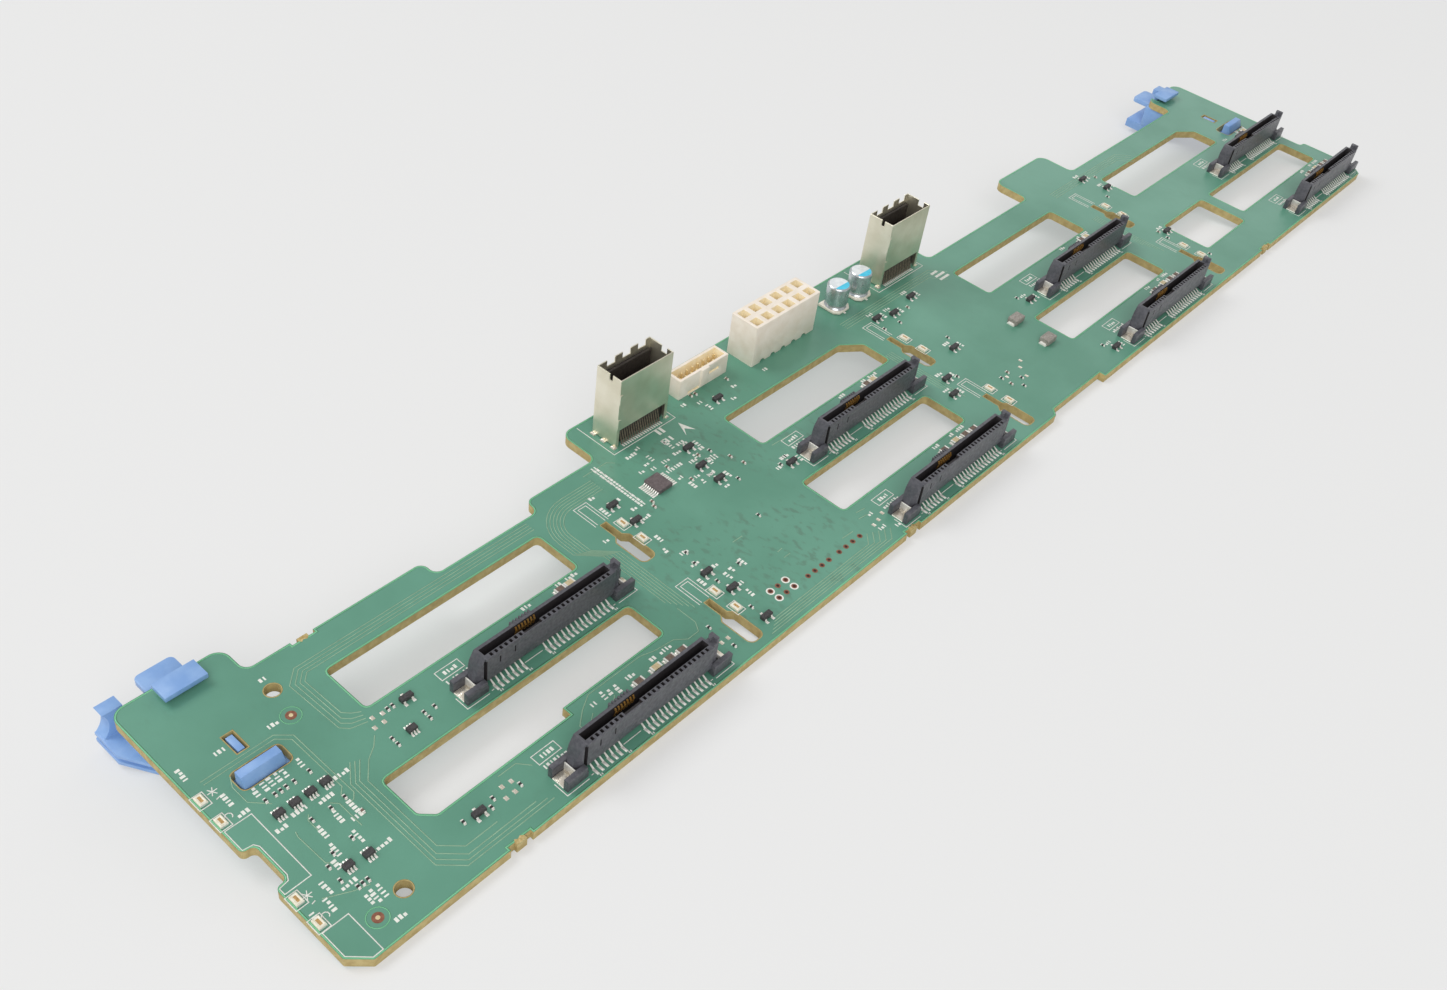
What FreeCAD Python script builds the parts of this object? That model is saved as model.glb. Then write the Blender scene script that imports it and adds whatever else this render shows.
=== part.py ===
"""Drive backplane board: a long server circuit board that eight drives plug into.

Everything is modelled from the board's front left corner: X runs along the board, Y from the
front edge to the back edge, and Z is zero on the component side and rises away from it.
At the end each piece is moved so that the origin lies under the middle of the whole part,
level with the feet of the two latches.
"""
import FreeCAD
import Part
import math
import os

V = FreeCAD.Vector
tiny = 1e-6
# A corner takes up to this share of its sides, and one tighter than the smallest arc is two flats
corner_share = 0.49
smallest_arc = 1.1

# Drive sockets stand in four columns of two; a place is measured from the toe of its first lead
first_contact_x = 56.6
column_pitch = 107.1
column_count = 4
first_row_y = 1.6
row_pitch = 27.6
row_count = 2

# Board blank, millimetres
right_margin = 41.1
board_thickness = 2.3
corner_radius = 3.0
inner_radius = 2.0
window_radius = 1.0
front_chamfer = 3.6

# Back edge: depth of the board at its two end tabs, and each other stretch as a step from that
end_tab_reach = 72.8
end_tab_width = 24.2
right_tab_width = 20.0
left_shoulder_drop = 7.8
hollow_drop = 12.3
hollow_start = 67.6
hollow_end = 96.6
middle_shoulder_drop = 8.2
port_tab_step = 3.3
port_tab_margin = 6.3
right_shoulder_drop = 9.0
small_tab_step = 2.8
small_tab_start = 34.3
small_tab_width = 27.0
front_recess_start = 219.6
front_recess_width = 25.2
front_recess_depth = 1.8
end_notch_front = 22.0
end_notch_width = 9.4
end_notch_depth = 2.5
end_notch_radius = 1.2
overcut = 1.0
stub_width = 2.4
stub_bite_width = 1.5
stub_bite_depth = 0.8
front_stubs = (36.4, 157.3, 343.6)
back_stub = 37.2

# Air windows as column, row and their reach left and right of the column's first lead
window_front = 13.1
window_depth = 12.5
windows = (
    (0, 1, 21.4, 34.6), (1, 0, 14.3, 35.6), (2, 0, 18.8, 33.9), (2, 1, 19.0, 33.9),
    (3, 0, 20.5, 33.7),
)
bevelled_windows = ((1, 1, 10.9, 40.4), (3, 1, 42.3, 14.7))
window_bevel = (5.5, 4.0)
small_window = (3, 0, 50.5, -25.5)
small_window_shift = 2.8
left_window = (29.8, 34.6)
left_window_step = 5.9
left_window_rise = 2.2
left_window_bevel = 2.6

# One drive socket, from the toe of its first lead
contact_pitch = 1.27
signal_contacts = 7
power_contacts = 15
power_group_offset = 13.97
socket_end_margin = 1.75
socket_front = 1.3
socket_back = 5.0
socket_height = 8.5
socket_standoff = 0.3
mouth_front = 2.45
mouth_back = 4.25
mouth_depth = 5.5
mouth_end_wall = 0.55
undercut_height = 2.0
undercut_depth = 1.1
pocket_width = 0.62
pocket_front = 1.6
pocket_back = 2.15
pocket_depth = 0.9
key_gap_start = 8.4
key_gap_end = 13.1
key_gap_depth = 0.9
comb_pitch = 0.8
comb_ribs = 7
comb_rib_width = 0.4
comb_reach = 0.9
comb_top_drop = 0.35
spring_width = 0.36
spring_thickness = 0.4
spring_length = 4.0
spring_top_drop = 0.5
lead_width = 0.45
lead_thickness = 0.2
lead_exit_height = 1.1
nose_length = 2.1
nose_setback = 0.3
nose_corner = 1.4
nose_lean = 1.0
nose_shoulder_drop = 2.0
nose_groove_width = 0.6
nose_groove_depth = 1.0
nose_groove_top = 0.6
post_length = 3.2
post_lean = 1.4
post_rise = 1.1
post_front_setback = 0.4
post_back_setback = 1.1
post_corner = 1.6
post_notch_width = 1.1
fork_reach = 5.4
fork_height = 3.0
fork_front = 0.4
fork_prong = 1.1
fork_back = 5.7
fork_root_height = 1.6
nose_fork_root = 2.2
post_fork_root = 3.2
solder_tab_thickness = 0.3
solder_tab_upstand = 2.6
slit_width = 0.3
slit_depth = 0.4
slit_height = 1.8
slit_drop = 1.5
slit_offsets = (1.75, 5.65)

# Keyhole slots between the columns, from the first lead of the column on their left
keyhole_offset = 48.1
keyhole_setback = 1.0
keyhole_back_row_shift = 3.5
keyhole_wide = 4.0
keyhole_wide_length = 8.2
keyhole_narrow = 1.5
keyhole_length = 14.3
keyhole_flare = 1.3
keyhole_radius = 1.4

# Fixing holes
fixing_hole_radius = 1.6
fixing_holes = ((15.4, 7.0), (25.1, 57.5))

# Cable ports, at the back edge of their tab
port_first_x = 124.7
port_spacing = 103.9
port_edge_gap = 4.2
port_width = 17.3
port_depth = 7.8
port_height = 20.0
port_wall = 0.3
port_wall_lift = 4.2
port_leg_width = 0.9
port_window_height = 5.0
port_rim_notch = 1.7
port_rim_notches = 3
port_rim_first = 3.0
port_rim_width = 2.6
port_rim_pitch = 5.1
port_side_notch = 1.9
port_spring = (1.1, 5.8)
port_nose_clearance = 0.25
port_nose_top = 14.0
port_nose_shoulder = 1.2
port_base_setback = 0.6
port_nose_depth = 3.2
port_slot_width = 1.0
port_slot_depth = 6.0
port_liner_top = 17.4
port_liner = 0.8
port_base_height = 5.6
port_tail_count = 18
port_tail_pitch = 0.75
port_tail_width = 0.4
port_tail_thickness = 0.25
port_tail_height = 3.4
port_tail_reach = 1.1
port_seam_tab = (0.8, 0.18, 2.8)
port_seam_heights = (5.6, 13.0)

# Power header, two rows of six
power_offset = 31.2
power_edge_gap = 3.9
power_pitch = 4.2
power_columns = 6
power_rows = 2
power_margin = 2.2
power_height = 12.2
power_cavity = 2.6
power_pin = 1.1
power_pin_height = 8.0
power_arch_height = 0.8
power_arch_width = 2.1
power_arch_slope = 0.5

# Signal header, two rows of eight
signal_offset = 7.1
signal_edge_gap = 4.7
signal_length = 17.7
signal_depth = 4.8
signal_height = 5.8
signal_wall = 0.75
signal_floor = 1.6
signal_pitch = 2.0
signal_columns = 8
signal_row_gap = 1.5
signal_pin = 0.5
signal_pin_height = 4.9
signal_key_width = 2.6
signal_key_depth = 0.5
signal_slot_length = 4.2
signal_slot_height = 0.8
signal_slot_low = 0.3
signal_slot_high = 2.9

# Can capacitors
can_offset = 69.4
can_spacing = 9.8
can_edge_gap = 9.7
can_diameter = 6.3
can_height = 7.7
can_base_size = 6.6
can_base_height = 0.9
can_base_bevel = 1.3
can_waist = 0.45
can_waist_height = 1.3
can_rim = 0.4
can_foot_width = 0.7
can_foot_reach = 0.5
can_foot_thickness = 0.15

# Latches
latch_slot_x = 7.8
latch_slot_length = 10.7
latch_slot_offset = 12.6
latch_slot_width = 4.8
latch_peg_slot_x = 11.8
latch_peg_slot_length = 2.3
latch_peg_slot_offset = 20.4
latch_peg_slot_width = 4.9
latch_notch_x = 9.5
latch_notch_width = 7.5
latch_notch_depth = 2.4
latch_neck_depth = 1.2
latch_fit = 0.4
latch_plate_x = 5.0
latch_plate_width = 14.6
latch_plate_lead = 2.0
latch_plate_radius = 1.2
latch_plate_thickness = 1.4
latch_hook_rise = 2.3
latch_hook_slope = 0.9
latch_hook_lip = 0.3
latch_hook_end_gap = 1.5
latch_peg_drop = 0.2
latch_hook_depth = 2.8
latch_tab_x = 8.7
latch_tab_width = 9.2
latch_tab_depth = 4.8
latch_tab_gap = 1.1
latch_tab_thickness = 1.2
latch_thumb_x = 8.7
latch_thumb_width = 8.6
latch_thumb_reach = 6.5
latch_foot_drop = 9.8
latch_foot_thickness = 2.8
latch_foot_groove = 0.9
latch_foot_setback = 9.2
latch_foot_side = 1.1
latch_foot_width = 20.5
latch_foot_nose = 7.0
latch_foot_taper = 3.9
latch_web_thickness = 1.6
latch_web_lean = 4.0
latch_post_width = 4.3
latch_post_setback = 2.4
latch_post_depth = 3.0
latch_post_waist = 1.0
latch_post_flare = 0.6
latch_post_inset = 0.9

# Controller chip, from the first lead of the front left socket
controller_place = (66.5, 47.2)
controller_size = (4.4, 5.0, 1.2)
controller_legs = 8
controller_leg_pitch = 0.6
controller_leg_reach = 1.1
controller_leg_height = 0.3

# Small parts: bodies lie flat on the board
three_leg_body = (2.9, 1.3, 1.1)
six_leg_body = (2.1, 1.4, 1.0)
capacitor_size = (1.2, 2.0, 0.9)
inductor_size = (4.4, 3.0, 1.8)
light_size = (1.6, 2.4, 0.7)
light_offset = 51.3
light_edge = 1.2
light_rows = (9.9, 16.0)
header_part_offset = (15.0, 3.4)

# Small parts by the socket they lie beside: column, row, then X and Y from its first lead
three_leg_parts = (
    (0, 0, -21.9, 8.1), (0, 0, 54.0, 20.9), (0, 0, 54.8, 14.1), (0, 0, 54.0, 3.8),
    (0, 1, -14.5, 9.7), (0, 1, 53.5, 21.5), (0, 1, 54.0, 14.6),
    (1, 0, 45.6, 25.8), (1, 0, 41.7, 20.8), (1, 1, -25.9, 23.7), (1, 1, -28.3, 17.4),
    (1, 1, -28.4, 11.6), (1, 1, -10.9, 4.1), (1, 1, 52.3, 26.2),
    (1, 1, 58.1, 24.7), (1, 1, 58.3, 4.7), (1, 1, 68.3, 26.4),
    (2, 0, -12.3, 3.1), (2, 1, -12.3, 3.6), (2, 0, 54.3, 23.5), (2, 1, 59.3, 29.3),
    (2, 1, 61.6, 21.6),
)
six_leg_parts = (
    (0, 0, -45.2, 15.3), (0, 0, -41.2, 14.8), (0, 1, -47.3, 4.4), (0, 1, -43.9, 4.4),
    (0, 1, -40.6, 4.4), (0, 1, -37.3, 4.4), (0, 1, -18.5, 3.2),
)
inductor_parts = ((1, 1, 82.5, 0.6), (1, 0, 81.7, 17.3))
capacitor_offsets = ((0, 21.2, 9.6), (0, 26.4, 9.8), (0, 30.2, 9.6), (0, 33.6, 9.4),
                     (1, 26.9, 10.5), (1, 29.6, 10.5))

board_bottom = -board_thickness
board_length = first_contact_x + (column_count - 1) * column_pitch + right_margin
port_tab_reach = end_tab_reach + port_tab_step
back_row_y = first_row_y + (row_count - 1) * row_pitch
port_tab_start = port_first_x - port_tab_margin
port_tab_end = port_first_x + port_spacing + port_width + port_tab_margin
port_row_y = port_tab_reach - port_edge_gap - port_depth
headers_x = port_first_x + port_width
port_tail_root = port_wall + port_nose_clearance + port_base_setback
last_contact = power_group_offset + (power_contacts - 1) * contact_pitch
body_left = -socket_end_margin
body_right = last_contact + socket_end_margin
fork_ends = ((body_left, -1, nose_fork_root), (body_right, 1, post_fork_root))
comb_start = (key_gap_start + key_gap_end) / 2 - (comb_ribs - 1) * comb_pitch / 2
lead_exit = socket_front + undercut_depth
power_length = (power_columns - 1) * power_pitch + 2 * power_margin
power_depth = (power_rows - 1) * power_pitch + 2 * power_margin
latch_back = end_tab_reach + latch_thumb_reach
foot_bottom = board_bottom - latch_foot_drop
foot_top = foot_bottom + latch_foot_thickness
plate_bottom = board_bottom - latch_plate_thickness


def spot(column, row, x=0.0, y=0.0):
    """A place on the board, measured from the first lead of one socket."""
    return first_contact_x + column * column_pitch + x, first_row_y + row * row_pitch + y


def box(x0, x1, y0, y1, z0, z1):
    """A block between two corners."""
    return Part.makeBox(x1 - x0, y1 - y0, z1 - z0, V(x0, y0, z0))


def lying(size, place):
    """A block of the given size lying on the board, centred on a place."""
    length, depth, height = size
    x, y = place
    return box(x - length / 2, x + length / 2, y - depth / 2, y + depth / 2, 0, height)


def pin(width, place, z0, z1):
    """A square pin standing between two heights."""
    x, y = place
    half = width / 2
    return box(x - half, x + half, y - half, y + half, z0, z1)


def rounding(before, here, after, radius):
    """Start, crown and end of the arc at a corner, which is limited by its shorter side."""
    into = before - here
    away = after - here
    half = into.getAngle(away) / 2
    trim = min(radius / math.tan(half), corner_share * into.Length, corner_share * away.Length)
    into.normalize()
    away.normalize()
    crown = here + (into + away).normalize() * (trim / math.cos(half) - trim * math.tan(half))
    return here + into * trim, crown, here + away * trim


def line(start, end):
    """A straight edge."""
    return Part.LineSegment(start, end).toShape()


def outline(corners):
    """A closed wire through (x, y, radius) corners; corners that coincide count once."""
    points = []
    for x, y, radius in corners:
        if not points or (points[-1][0] - V(x, y, 0)).Length > tiny:
            points.append((V(x, y, 0), radius))
    spans = []
    for index, (here, radius) in enumerate(points):
        before = points[index - 1][0]
        after = points[(index + 1) % len(points)][0]
        straight = (here - before).cross(after - here).Length < tiny
        if radius == 0 or straight:
            spans.append([here])
        else:
            spans.append(rounding(before, here, after, radius))
    edges = []
    for index, corner in enumerate(spans):
        if len(corner) == 3 and points[index][1] < smallest_arc:
            edges += [line(corner[0], corner[1]), line(corner[1], corner[2])]
        elif len(corner) == 3:
            edges.append(Part.Arc(*corner).toShape())
        following = spans[(index + 1) % len(spans)][0]
        if (following - corner[-1]).Length > tiny:
            edges.append(line(corner[-1], following))
    return Part.Wire(edges)


def slab(corners, z0, z1):
    """A plate with a rounded outline between two heights."""
    plate = Part.Face(outline(corners)).extrude(V(0, 0, z1 - z0))
    plate.translate(V(0, 0, z0))
    return plate


def rounded(x0, x1, y0, y1, radius):
    """The corners of a rounded rectangle."""
    return [(x0, y0, radius), (x1, y0, radius), (x1, y1, radius), (x0, y1, radius)]


def side_profile(points, x0, x1):
    """A prism along X whose section is a list of (y, z) points."""
    wire = Part.makePolygon([V(x0, y, z) for y, z in points + points[:1]])
    return Part.Face(wire).extrude(V(x1 - x0, 0, 0))


def front_profile(points, y0, y1):
    """A prism along Y whose section is a list of (x, z) points."""
    wire = Part.makePolygon([V(x, y0, z) for x, z in points + points[:1]])
    return Part.Face(wire).extrude(V(0, y1 - y0, 0))


def moved(shape, place):
    """A copy of a shape with its own corner at a place on the board."""
    copy = shape.copy()
    copy.translate(V(place[0], place[1], 0))
    return copy


def mirrored(shape):
    """The same shape at the other end of the board."""
    return shape.mirror(V(board_length / 2, 0, 0), V(1, 0, 0))


def joined(shapes):
    """One solid from pieces that overlap or touch."""
    return shapes[0].fuse(shapes[1:]).removeSplitter()


def group(shapes):
    """Separate solids that share a node."""
    return Part.makeCompound(shapes)


def stub(x, y, step):
    """Where the board was broken out of its panel: a stub between two bites, walked along X."""
    half = stub_width / 2
    bite = half + stub_bite_width
    deep = y + stub_bite_depth * step
    return [(x - bite * step, y, 0), (x - bite * step, deep, 0), (x - half * step, deep, 0),
            (x - half * step, y, 0), (x + half * step, y, 0), (x + half * step, deep, 0),
            (x + bite * step, deep, 0), (x + bite * step, y, 0)]


def end_notch(x, inner):
    """The rounded notch halfway up a short end, walked towards the back."""
    back = end_notch_front + end_notch_width
    return [(x, end_notch_front, 0), (inner, end_notch_front, end_notch_radius),
            (inner, back, end_notch_radius), (x, back, 0)]


def board_outline():
    """The stepped edge of the blank, walked from the front left corner."""
    length = board_length
    right_tab = length - right_tab_width
    small_start = spot(2, 1, small_tab_start)[0]
    small_end = small_start + small_tab_width
    recess_end = front_recess_start + front_recess_width
    left_shoulder = end_tab_reach - left_shoulder_drop
    hollow = end_tab_reach - hollow_drop
    middle_shoulder = end_tab_reach - middle_shoulder_drop
    right_shoulder = end_tab_reach - right_shoulder_drop
    small_tab = end_tab_reach + small_tab_step
    front = [(front_chamfer, 0, 0)] + stub(front_stubs[0], 0, 1) + stub(front_stubs[1], 0, 1)
    front += [
        (front_recess_start, 0, 0),
        (front_recess_start + front_recess_depth, front_recess_depth, 0),
        (recess_end, front_recess_depth, 0),
        (recess_end, 0, 0),
    ]
    front += stub(front_stubs[2], 0, 1) + [(length - front_chamfer, 0, 0)]
    right = [(length, front_chamfer, 0)] + end_notch(length, length - end_notch_depth)
    back = [
        (length, end_tab_reach, corner_radius),
        (right_tab, end_tab_reach, corner_radius),
        (right_tab, right_shoulder, inner_radius),
        (small_end, right_shoulder, inner_radius),
        (small_end, small_tab, corner_radius),
        (small_start, small_tab, corner_radius),
        (small_start, right_shoulder, inner_radius),
        (port_tab_end, right_shoulder, inner_radius),
        (port_tab_end, port_tab_reach, corner_radius),
        (port_tab_start, port_tab_reach, corner_radius),
        (port_tab_start, middle_shoulder, inner_radius),
        (hollow_end, middle_shoulder, inner_radius),
        (hollow_end, hollow, inner_radius),
        (hollow_start, hollow, inner_radius),
        (hollow_start, left_shoulder, inner_radius),
    ]
    back += stub(back_stub, left_shoulder, -1) + [
        (end_tab_width, left_shoulder, inner_radius),
        (end_tab_width, end_tab_reach, corner_radius),
        (0, end_tab_reach, corner_radius),
    ]
    left = end_notch(0, end_notch_depth)[::-1] + [(0, front_chamfer, 0)]
    return front + right + back + left


def window_box(column, row, left, right):
    """The sides of an air window, from its reach on each side of a first lead."""
    x, y = spot(column, row, 0, window_front)
    return x - left, x + right, y, y + window_depth


def left_window_outline():
    """The first window, with a bevelled corner and a raised right half."""
    x0, x1, y0, y1 = window_box(0, 0, *left_window)
    step = spot(0, 0, left_window_step)[0]
    bevel = left_window_bevel
    radius = window_radius
    return [(x0 + bevel, y0, radius), (step, y0, 0), (step, y0 + left_window_rise, 0),
            (x1, y0 + left_window_rise, radius), (x1, y1, radius), (x0, y1, radius),
            (x0, y0 + bevel, radius)]


def bevelled_window_outline(column, row, left, right):
    """A window whose back right corner is cut off."""
    x0, x1, y0, y1 = window_box(column, row, left, right)
    run, drop = window_bevel
    radius = window_radius
    return [(x0, y0, radius), (x1, y0, radius), (x1, y1 - drop, radius),
            (x1 - run, y1, radius), (x0, y1, radius)]


def window_outlines():
    """The nine air windows."""
    x0, x1, y0, y1 = window_box(*small_window)
    shapes = [left_window_outline(), rounded(x0, x1, y0 - small_window_shift, y1, window_radius)]
    shapes += [bevelled_window_outline(*window) for window in bevelled_windows]
    shapes += [rounded(*window_box(*window), window_radius) for window in windows]
    return shapes


def keyhole_outline(x, y):
    """A slot with a wide front end, a short flare and a narrow back end."""
    wide = keyhole_wide / 2
    narrow = keyhole_narrow / 2
    flare_start = y + keyhole_wide_length
    flare_end = flare_start + keyhole_flare
    end = y + keyhole_length
    return [(x - wide, y, keyhole_radius), (x + wide, y, keyhole_radius),
            (x + wide, flare_start, 0), (x + narrow, flare_end, 0), (x + narrow, end, 0),
            (x - narrow, end, 0), (x - narrow, flare_end, 0), (x - wide, flare_start, 0)]


def through(corners):
    """A cutter with a rounded outline that runs past both faces of the board."""
    return slab(corners, board_bottom - overcut, overcut)


def latch_cutters():
    """The hook slot, the peg slot and the edge notch of the left latch."""
    hook_y = back_row_y + latch_slot_offset
    peg_y = back_row_y + latch_peg_slot_offset
    hook = rounded(latch_slot_x, latch_slot_x + latch_slot_length,
                   hook_y, hook_y + latch_slot_width, window_radius)
    peg = rounded(latch_peg_slot_x, latch_peg_slot_x + latch_peg_slot_length,
                  peg_y, peg_y + latch_peg_slot_width, 0)
    notch = rounded(latch_notch_x, latch_notch_x + latch_notch_width,
                    end_tab_reach - latch_notch_depth, end_tab_reach + overcut, 0)
    return [through(hook), through(peg), through(notch)]


def circuit_board():
    blank = slab(board_outline(), board_bottom, 0)
    cutters = [through(corners) for corners in window_outlines()]
    for column in range(column_count - 1):
        for row in range(row_count):
            shift = keyhole_setback + row * keyhole_back_row_shift
            cutters.append(through(keyhole_outline(*spot(column, row, keyhole_offset, shift))))
    for x, y in fixing_holes:
        cutters.append(Part.makeCylinder(fixing_hole_radius, board_thickness + 2 * overcut,
                                         V(x, y, board_bottom - overcut)))
    for cutter in latch_cutters():
        cutters += [cutter, mirrored(cutter)]
    return blank.cut(cutters)


def contact_offsets():
    """X of each front lead of a socket, from the first."""
    signal = [index * contact_pitch for index in range(signal_contacts)]
    power = [power_group_offset + index * contact_pitch for index in range(power_contacts)]
    return signal + power


def comb_offsets():
    return [comb_start + index * comb_pitch for index in range(comb_ribs)]


def span(start, reach, side):
    """The lower and upper X of a stretch that runs outwards on one side."""
    end = start + side * reach
    return min(start, end), max(start, end)


def socket_fork(inner, side, root):
    """A forked foot: two prongs on the board, and the root between them up to the solder tab."""
    x0, x1 = span(inner, fork_reach, side)
    root0, root1 = span(inner, root, side)
    return [box(x0, x1, fork_front, fork_front + fork_prong, 0, fork_height),
            box(x0, x1, fork_back - fork_prong, fork_back, 0, fork_height),
            box(root0, root1, fork_front, fork_back, socket_standoff, fork_root_height)]


def socket_nose():
    """The guide at the first end, which leans in towards its top and has cut corners."""
    x0 = body_left - nose_length
    y0 = socket_front + nose_setback
    y1 = socket_back
    nose = front_profile([(x0, socket_standoff), (body_left, socket_standoff),
                          (body_left, socket_height),
                          (x0 + nose_lean, socket_height - nose_shoulder_drop),
                          (x0, fork_root_height)], y0, y1)
    cut = nose_corner
    front = [(x0, y0, 0), (x0 + cut, y0, 0), (x0, y0 + cut, 0)]
    back = [(x0, y1, 0), (x0, y1 - cut / 2, 0), (x0 + cut / 2, y1, 0)]
    return nose.cut([slab(front, 0, socket_height), slab(back, 0, socket_height)])


def nose_groove():
    """The upright groove between the nose and the front of the body."""
    half = nose_groove_width / 2
    return box(body_left - half, body_left + half, 0, socket_front + nose_groove_depth,
               fork_root_height, socket_height - nose_groove_top)


def socket_post():
    """The tall guide at the last end: it leans in, and its rounded head is split by a notch."""
    outer = body_right + post_length
    top = socket_height + post_rise
    y0 = socket_front + post_front_setback
    y1 = socket_back - post_back_setback
    post = front_profile([(body_right, socket_standoff), (outer, socket_standoff),
                          (outer, fork_root_height), (outer - post_lean, top), (body_right, top)],
                         y0, y1)
    cut = post_corner
    front = [(outer, y0, 0), (outer, y0 + cut, 0), (outer - cut, y0, 0)]
    back = [(body_right, y1, 0), (body_right, y1 - cut / 2, 0), (body_right + cut / 2, y1, 0)]
    middle = body_right + (post_length - post_lean) / 2
    notch = box(body_right, middle, y0, y0 + post_notch_width, socket_height, top)
    return post.cut([slab(front, fork_root_height, top), slab(back, socket_height, top), notch])


def socket_body():
    """The long moulded bar with its undercut front."""
    front = socket_front
    section = [
        (lead_exit, socket_standoff), (socket_back, socket_standoff),
        (socket_back, socket_height), (front, socket_height),
        (front, undercut_height), (lead_exit, undercut_height),
    ]
    return side_profile(section, body_left, body_right)


def tab_upstand(inner, side, root):
    """The upstand of a solder tab, and the seat for it in the moulding."""
    x0, x1 = span(inner + side * root, solder_tab_thickness, side)
    return box(x0, x1, fork_front + fork_prong, fork_back - fork_prong, 0, solder_tab_upstand)


def socket_cutters():
    """The mouth, the key gap, a pocket behind each lead, two slits and the solder tab seats."""
    above = socket_height + overcut
    wall = mouth_end_wall
    cutters = [box(body_left + wall, body_right - wall, mouth_front, mouth_back,
                   socket_height - mouth_depth, above),
               box(key_gap_start, key_gap_end, pocket_front, mouth_front,
                   socket_height - key_gap_depth, above),
               nose_groove()]
    cutters += [tab_upstand(*end) for end in fork_ends]
    half = pocket_width / 2
    for offset in contact_offsets():
        cutters.append(box(offset - half, offset + half, pocket_front, pocket_back,
                           socket_height - pocket_depth, above))
    slit_top = socket_height - slit_drop
    for offset in slit_offsets:
        cutters.append(box(offset, offset + slit_width, socket_front, socket_front + slit_depth,
                           slit_top - slit_height, slit_top))
    return cutters


def socket_housing():
    """The moulded body with its guides, forked feet and the comb behind the key gap."""
    parts = [socket_body(), socket_nose(), socket_post()]
    for end in fork_ends:
        parts += socket_fork(*end)
    half = comb_rib_width / 2
    for x in comb_offsets():
        parts.append(box(x - half, x + half, socket_back, socket_back + comb_reach,
                         socket_standoff, socket_height - comb_top_drop))
    return joined(parts).cut(socket_cutters())


def socket_contacts():
    """The sloping front leads, and the springs on the back wall of the mouth."""
    section = [(0, 0), (lead_exit, lead_exit_height - lead_thickness),
               (lead_exit, lead_exit_height), (0, lead_thickness)]
    half = lead_width / 2
    pieces = [side_profile(section, x - half, x + half) for x in contact_offsets()]
    top = socket_height - spring_top_drop
    half = spring_width / 2
    for x in comb_offsets():
        pieces.append(box(x - half, x + half, mouth_back - spring_thickness, mouth_back,
                          top - spring_length, top))
    return group(pieces)


def socket_solder_tabs():
    """A folded tab in each fork: a flat on the board and a short upstand."""
    y0 = fork_front + fork_prong
    y1 = fork_back - fork_prong
    pieces = []
    for inner, side, root in fork_ends:
        x0, x1 = span(inner + side * root, fork_reach - root, side)
        flat = box(x0, x1, y0, y1, 0, solder_tab_thickness)
        pieces.append(joined([flat, tab_upstand(inner, side, root)]))
    return group(pieces)


def port_wall_cutters():
    """What is cut from the folded shell: its inside, front opening, leg gaps and rim notches."""
    wide = port_width
    deep = port_depth
    wall = port_wall
    leg = port_leg_width
    lift = port_wall_lift
    middle = deep / 2 - leg / 2
    rim = port_height - port_rim_notch
    above = port_height + overcut
    right = wide + overcut
    cutters = [
        box(wall, wide - wall, wall, deep - wall, -overcut, above),
        box(leg, wide - leg, -overcut, wall, -overcut, port_window_height),
        box(leg, wide - leg, deep - wall, deep + overcut, -overcut, lift),
        box(-overcut, right, leg, middle, -overcut, lift),
        box(-overcut, right, middle + leg, deep - leg, -overcut, lift),
        box(wide - wall, right, port_side_notch, port_side_notch + 2 * leg, rim, above),
        box(-overcut, wall, port_side_notch + leg, port_side_notch + 2 * leg, rim, above),
    ]
    for index in range(port_rim_notches):
        x = port_rim_first + index * port_rim_pitch
        cutters.append(box(x, x + port_rim_width, deep - wall, deep + overcut, rim, above))
    return cutters


def port_shell():
    """The folded shell of a cable port, open at the top, with its seam tabs and a front spring."""
    shell = box(0, port_width, 0, port_depth, 0, port_height).cut(port_wall_cutters())
    width, thick, tall = port_seam_tab
    tabs = [box(0, width, -thick, 0, z, z + tall) for z in port_seam_heights]
    out, length = port_spring
    top = port_height - port_wall
    spring = side_profile([(port_wall, top), (port_wall, top - length),
                           (port_wall + out, top - length / 2)],
                          port_rim_first, port_rim_first + port_leg_width)
    return joined([shell] + tabs + [spring])


def port_insulator():
    """The insulator: a base block, a slotted nose and a thin liner on the back wall."""
    gap = port_wall + port_nose_clearance
    x0 = gap
    x1 = port_width - gap
    back = port_depth - gap
    base = box(x0, x1, port_tail_root, back, 0, port_base_height)
    nose_y = (port_depth - port_nose_depth) / 2
    shoulder = port_nose_shoulder
    nose = box(x0 + shoulder, x1 - shoulder, nose_y, nose_y + port_nose_depth, 0, port_nose_top)
    liner = box(x0, x1, back - port_liner, back, 0, port_liner_top)
    slot_y = (port_depth - port_slot_width) / 2
    slot = box(x0 + 2 * shoulder, x1 - 2 * shoulder, slot_y, slot_y + port_slot_width,
               port_nose_top - port_slot_depth, port_nose_top)
    return joined([base, nose, liner]).cut(slot)


def port_tails():
    """The row of contact tails that slope from the insulator to the board."""
    toe = port_tail_root - port_tail_reach
    section = [
        (toe, 0), (toe + port_tail_thickness, 0),
        (port_tail_root, port_tail_height - port_tail_thickness),
        (port_tail_root, port_tail_height),
    ]
    start = port_width / 2 - (port_tail_count - 1) * port_tail_pitch / 2
    half = port_tail_width / 2
    pieces = []
    for index in range(port_tail_count):
        x = start + index * port_tail_pitch
        pieces.append(side_profile(section, x - half, x + half))
    return group(pieces)


def power_cells():
    """The centre of each cavity of the power header."""
    return [(power_margin + column * power_pitch, power_margin + row * power_pitch)
            for row in range(power_rows) for column in range(power_columns)]


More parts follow.
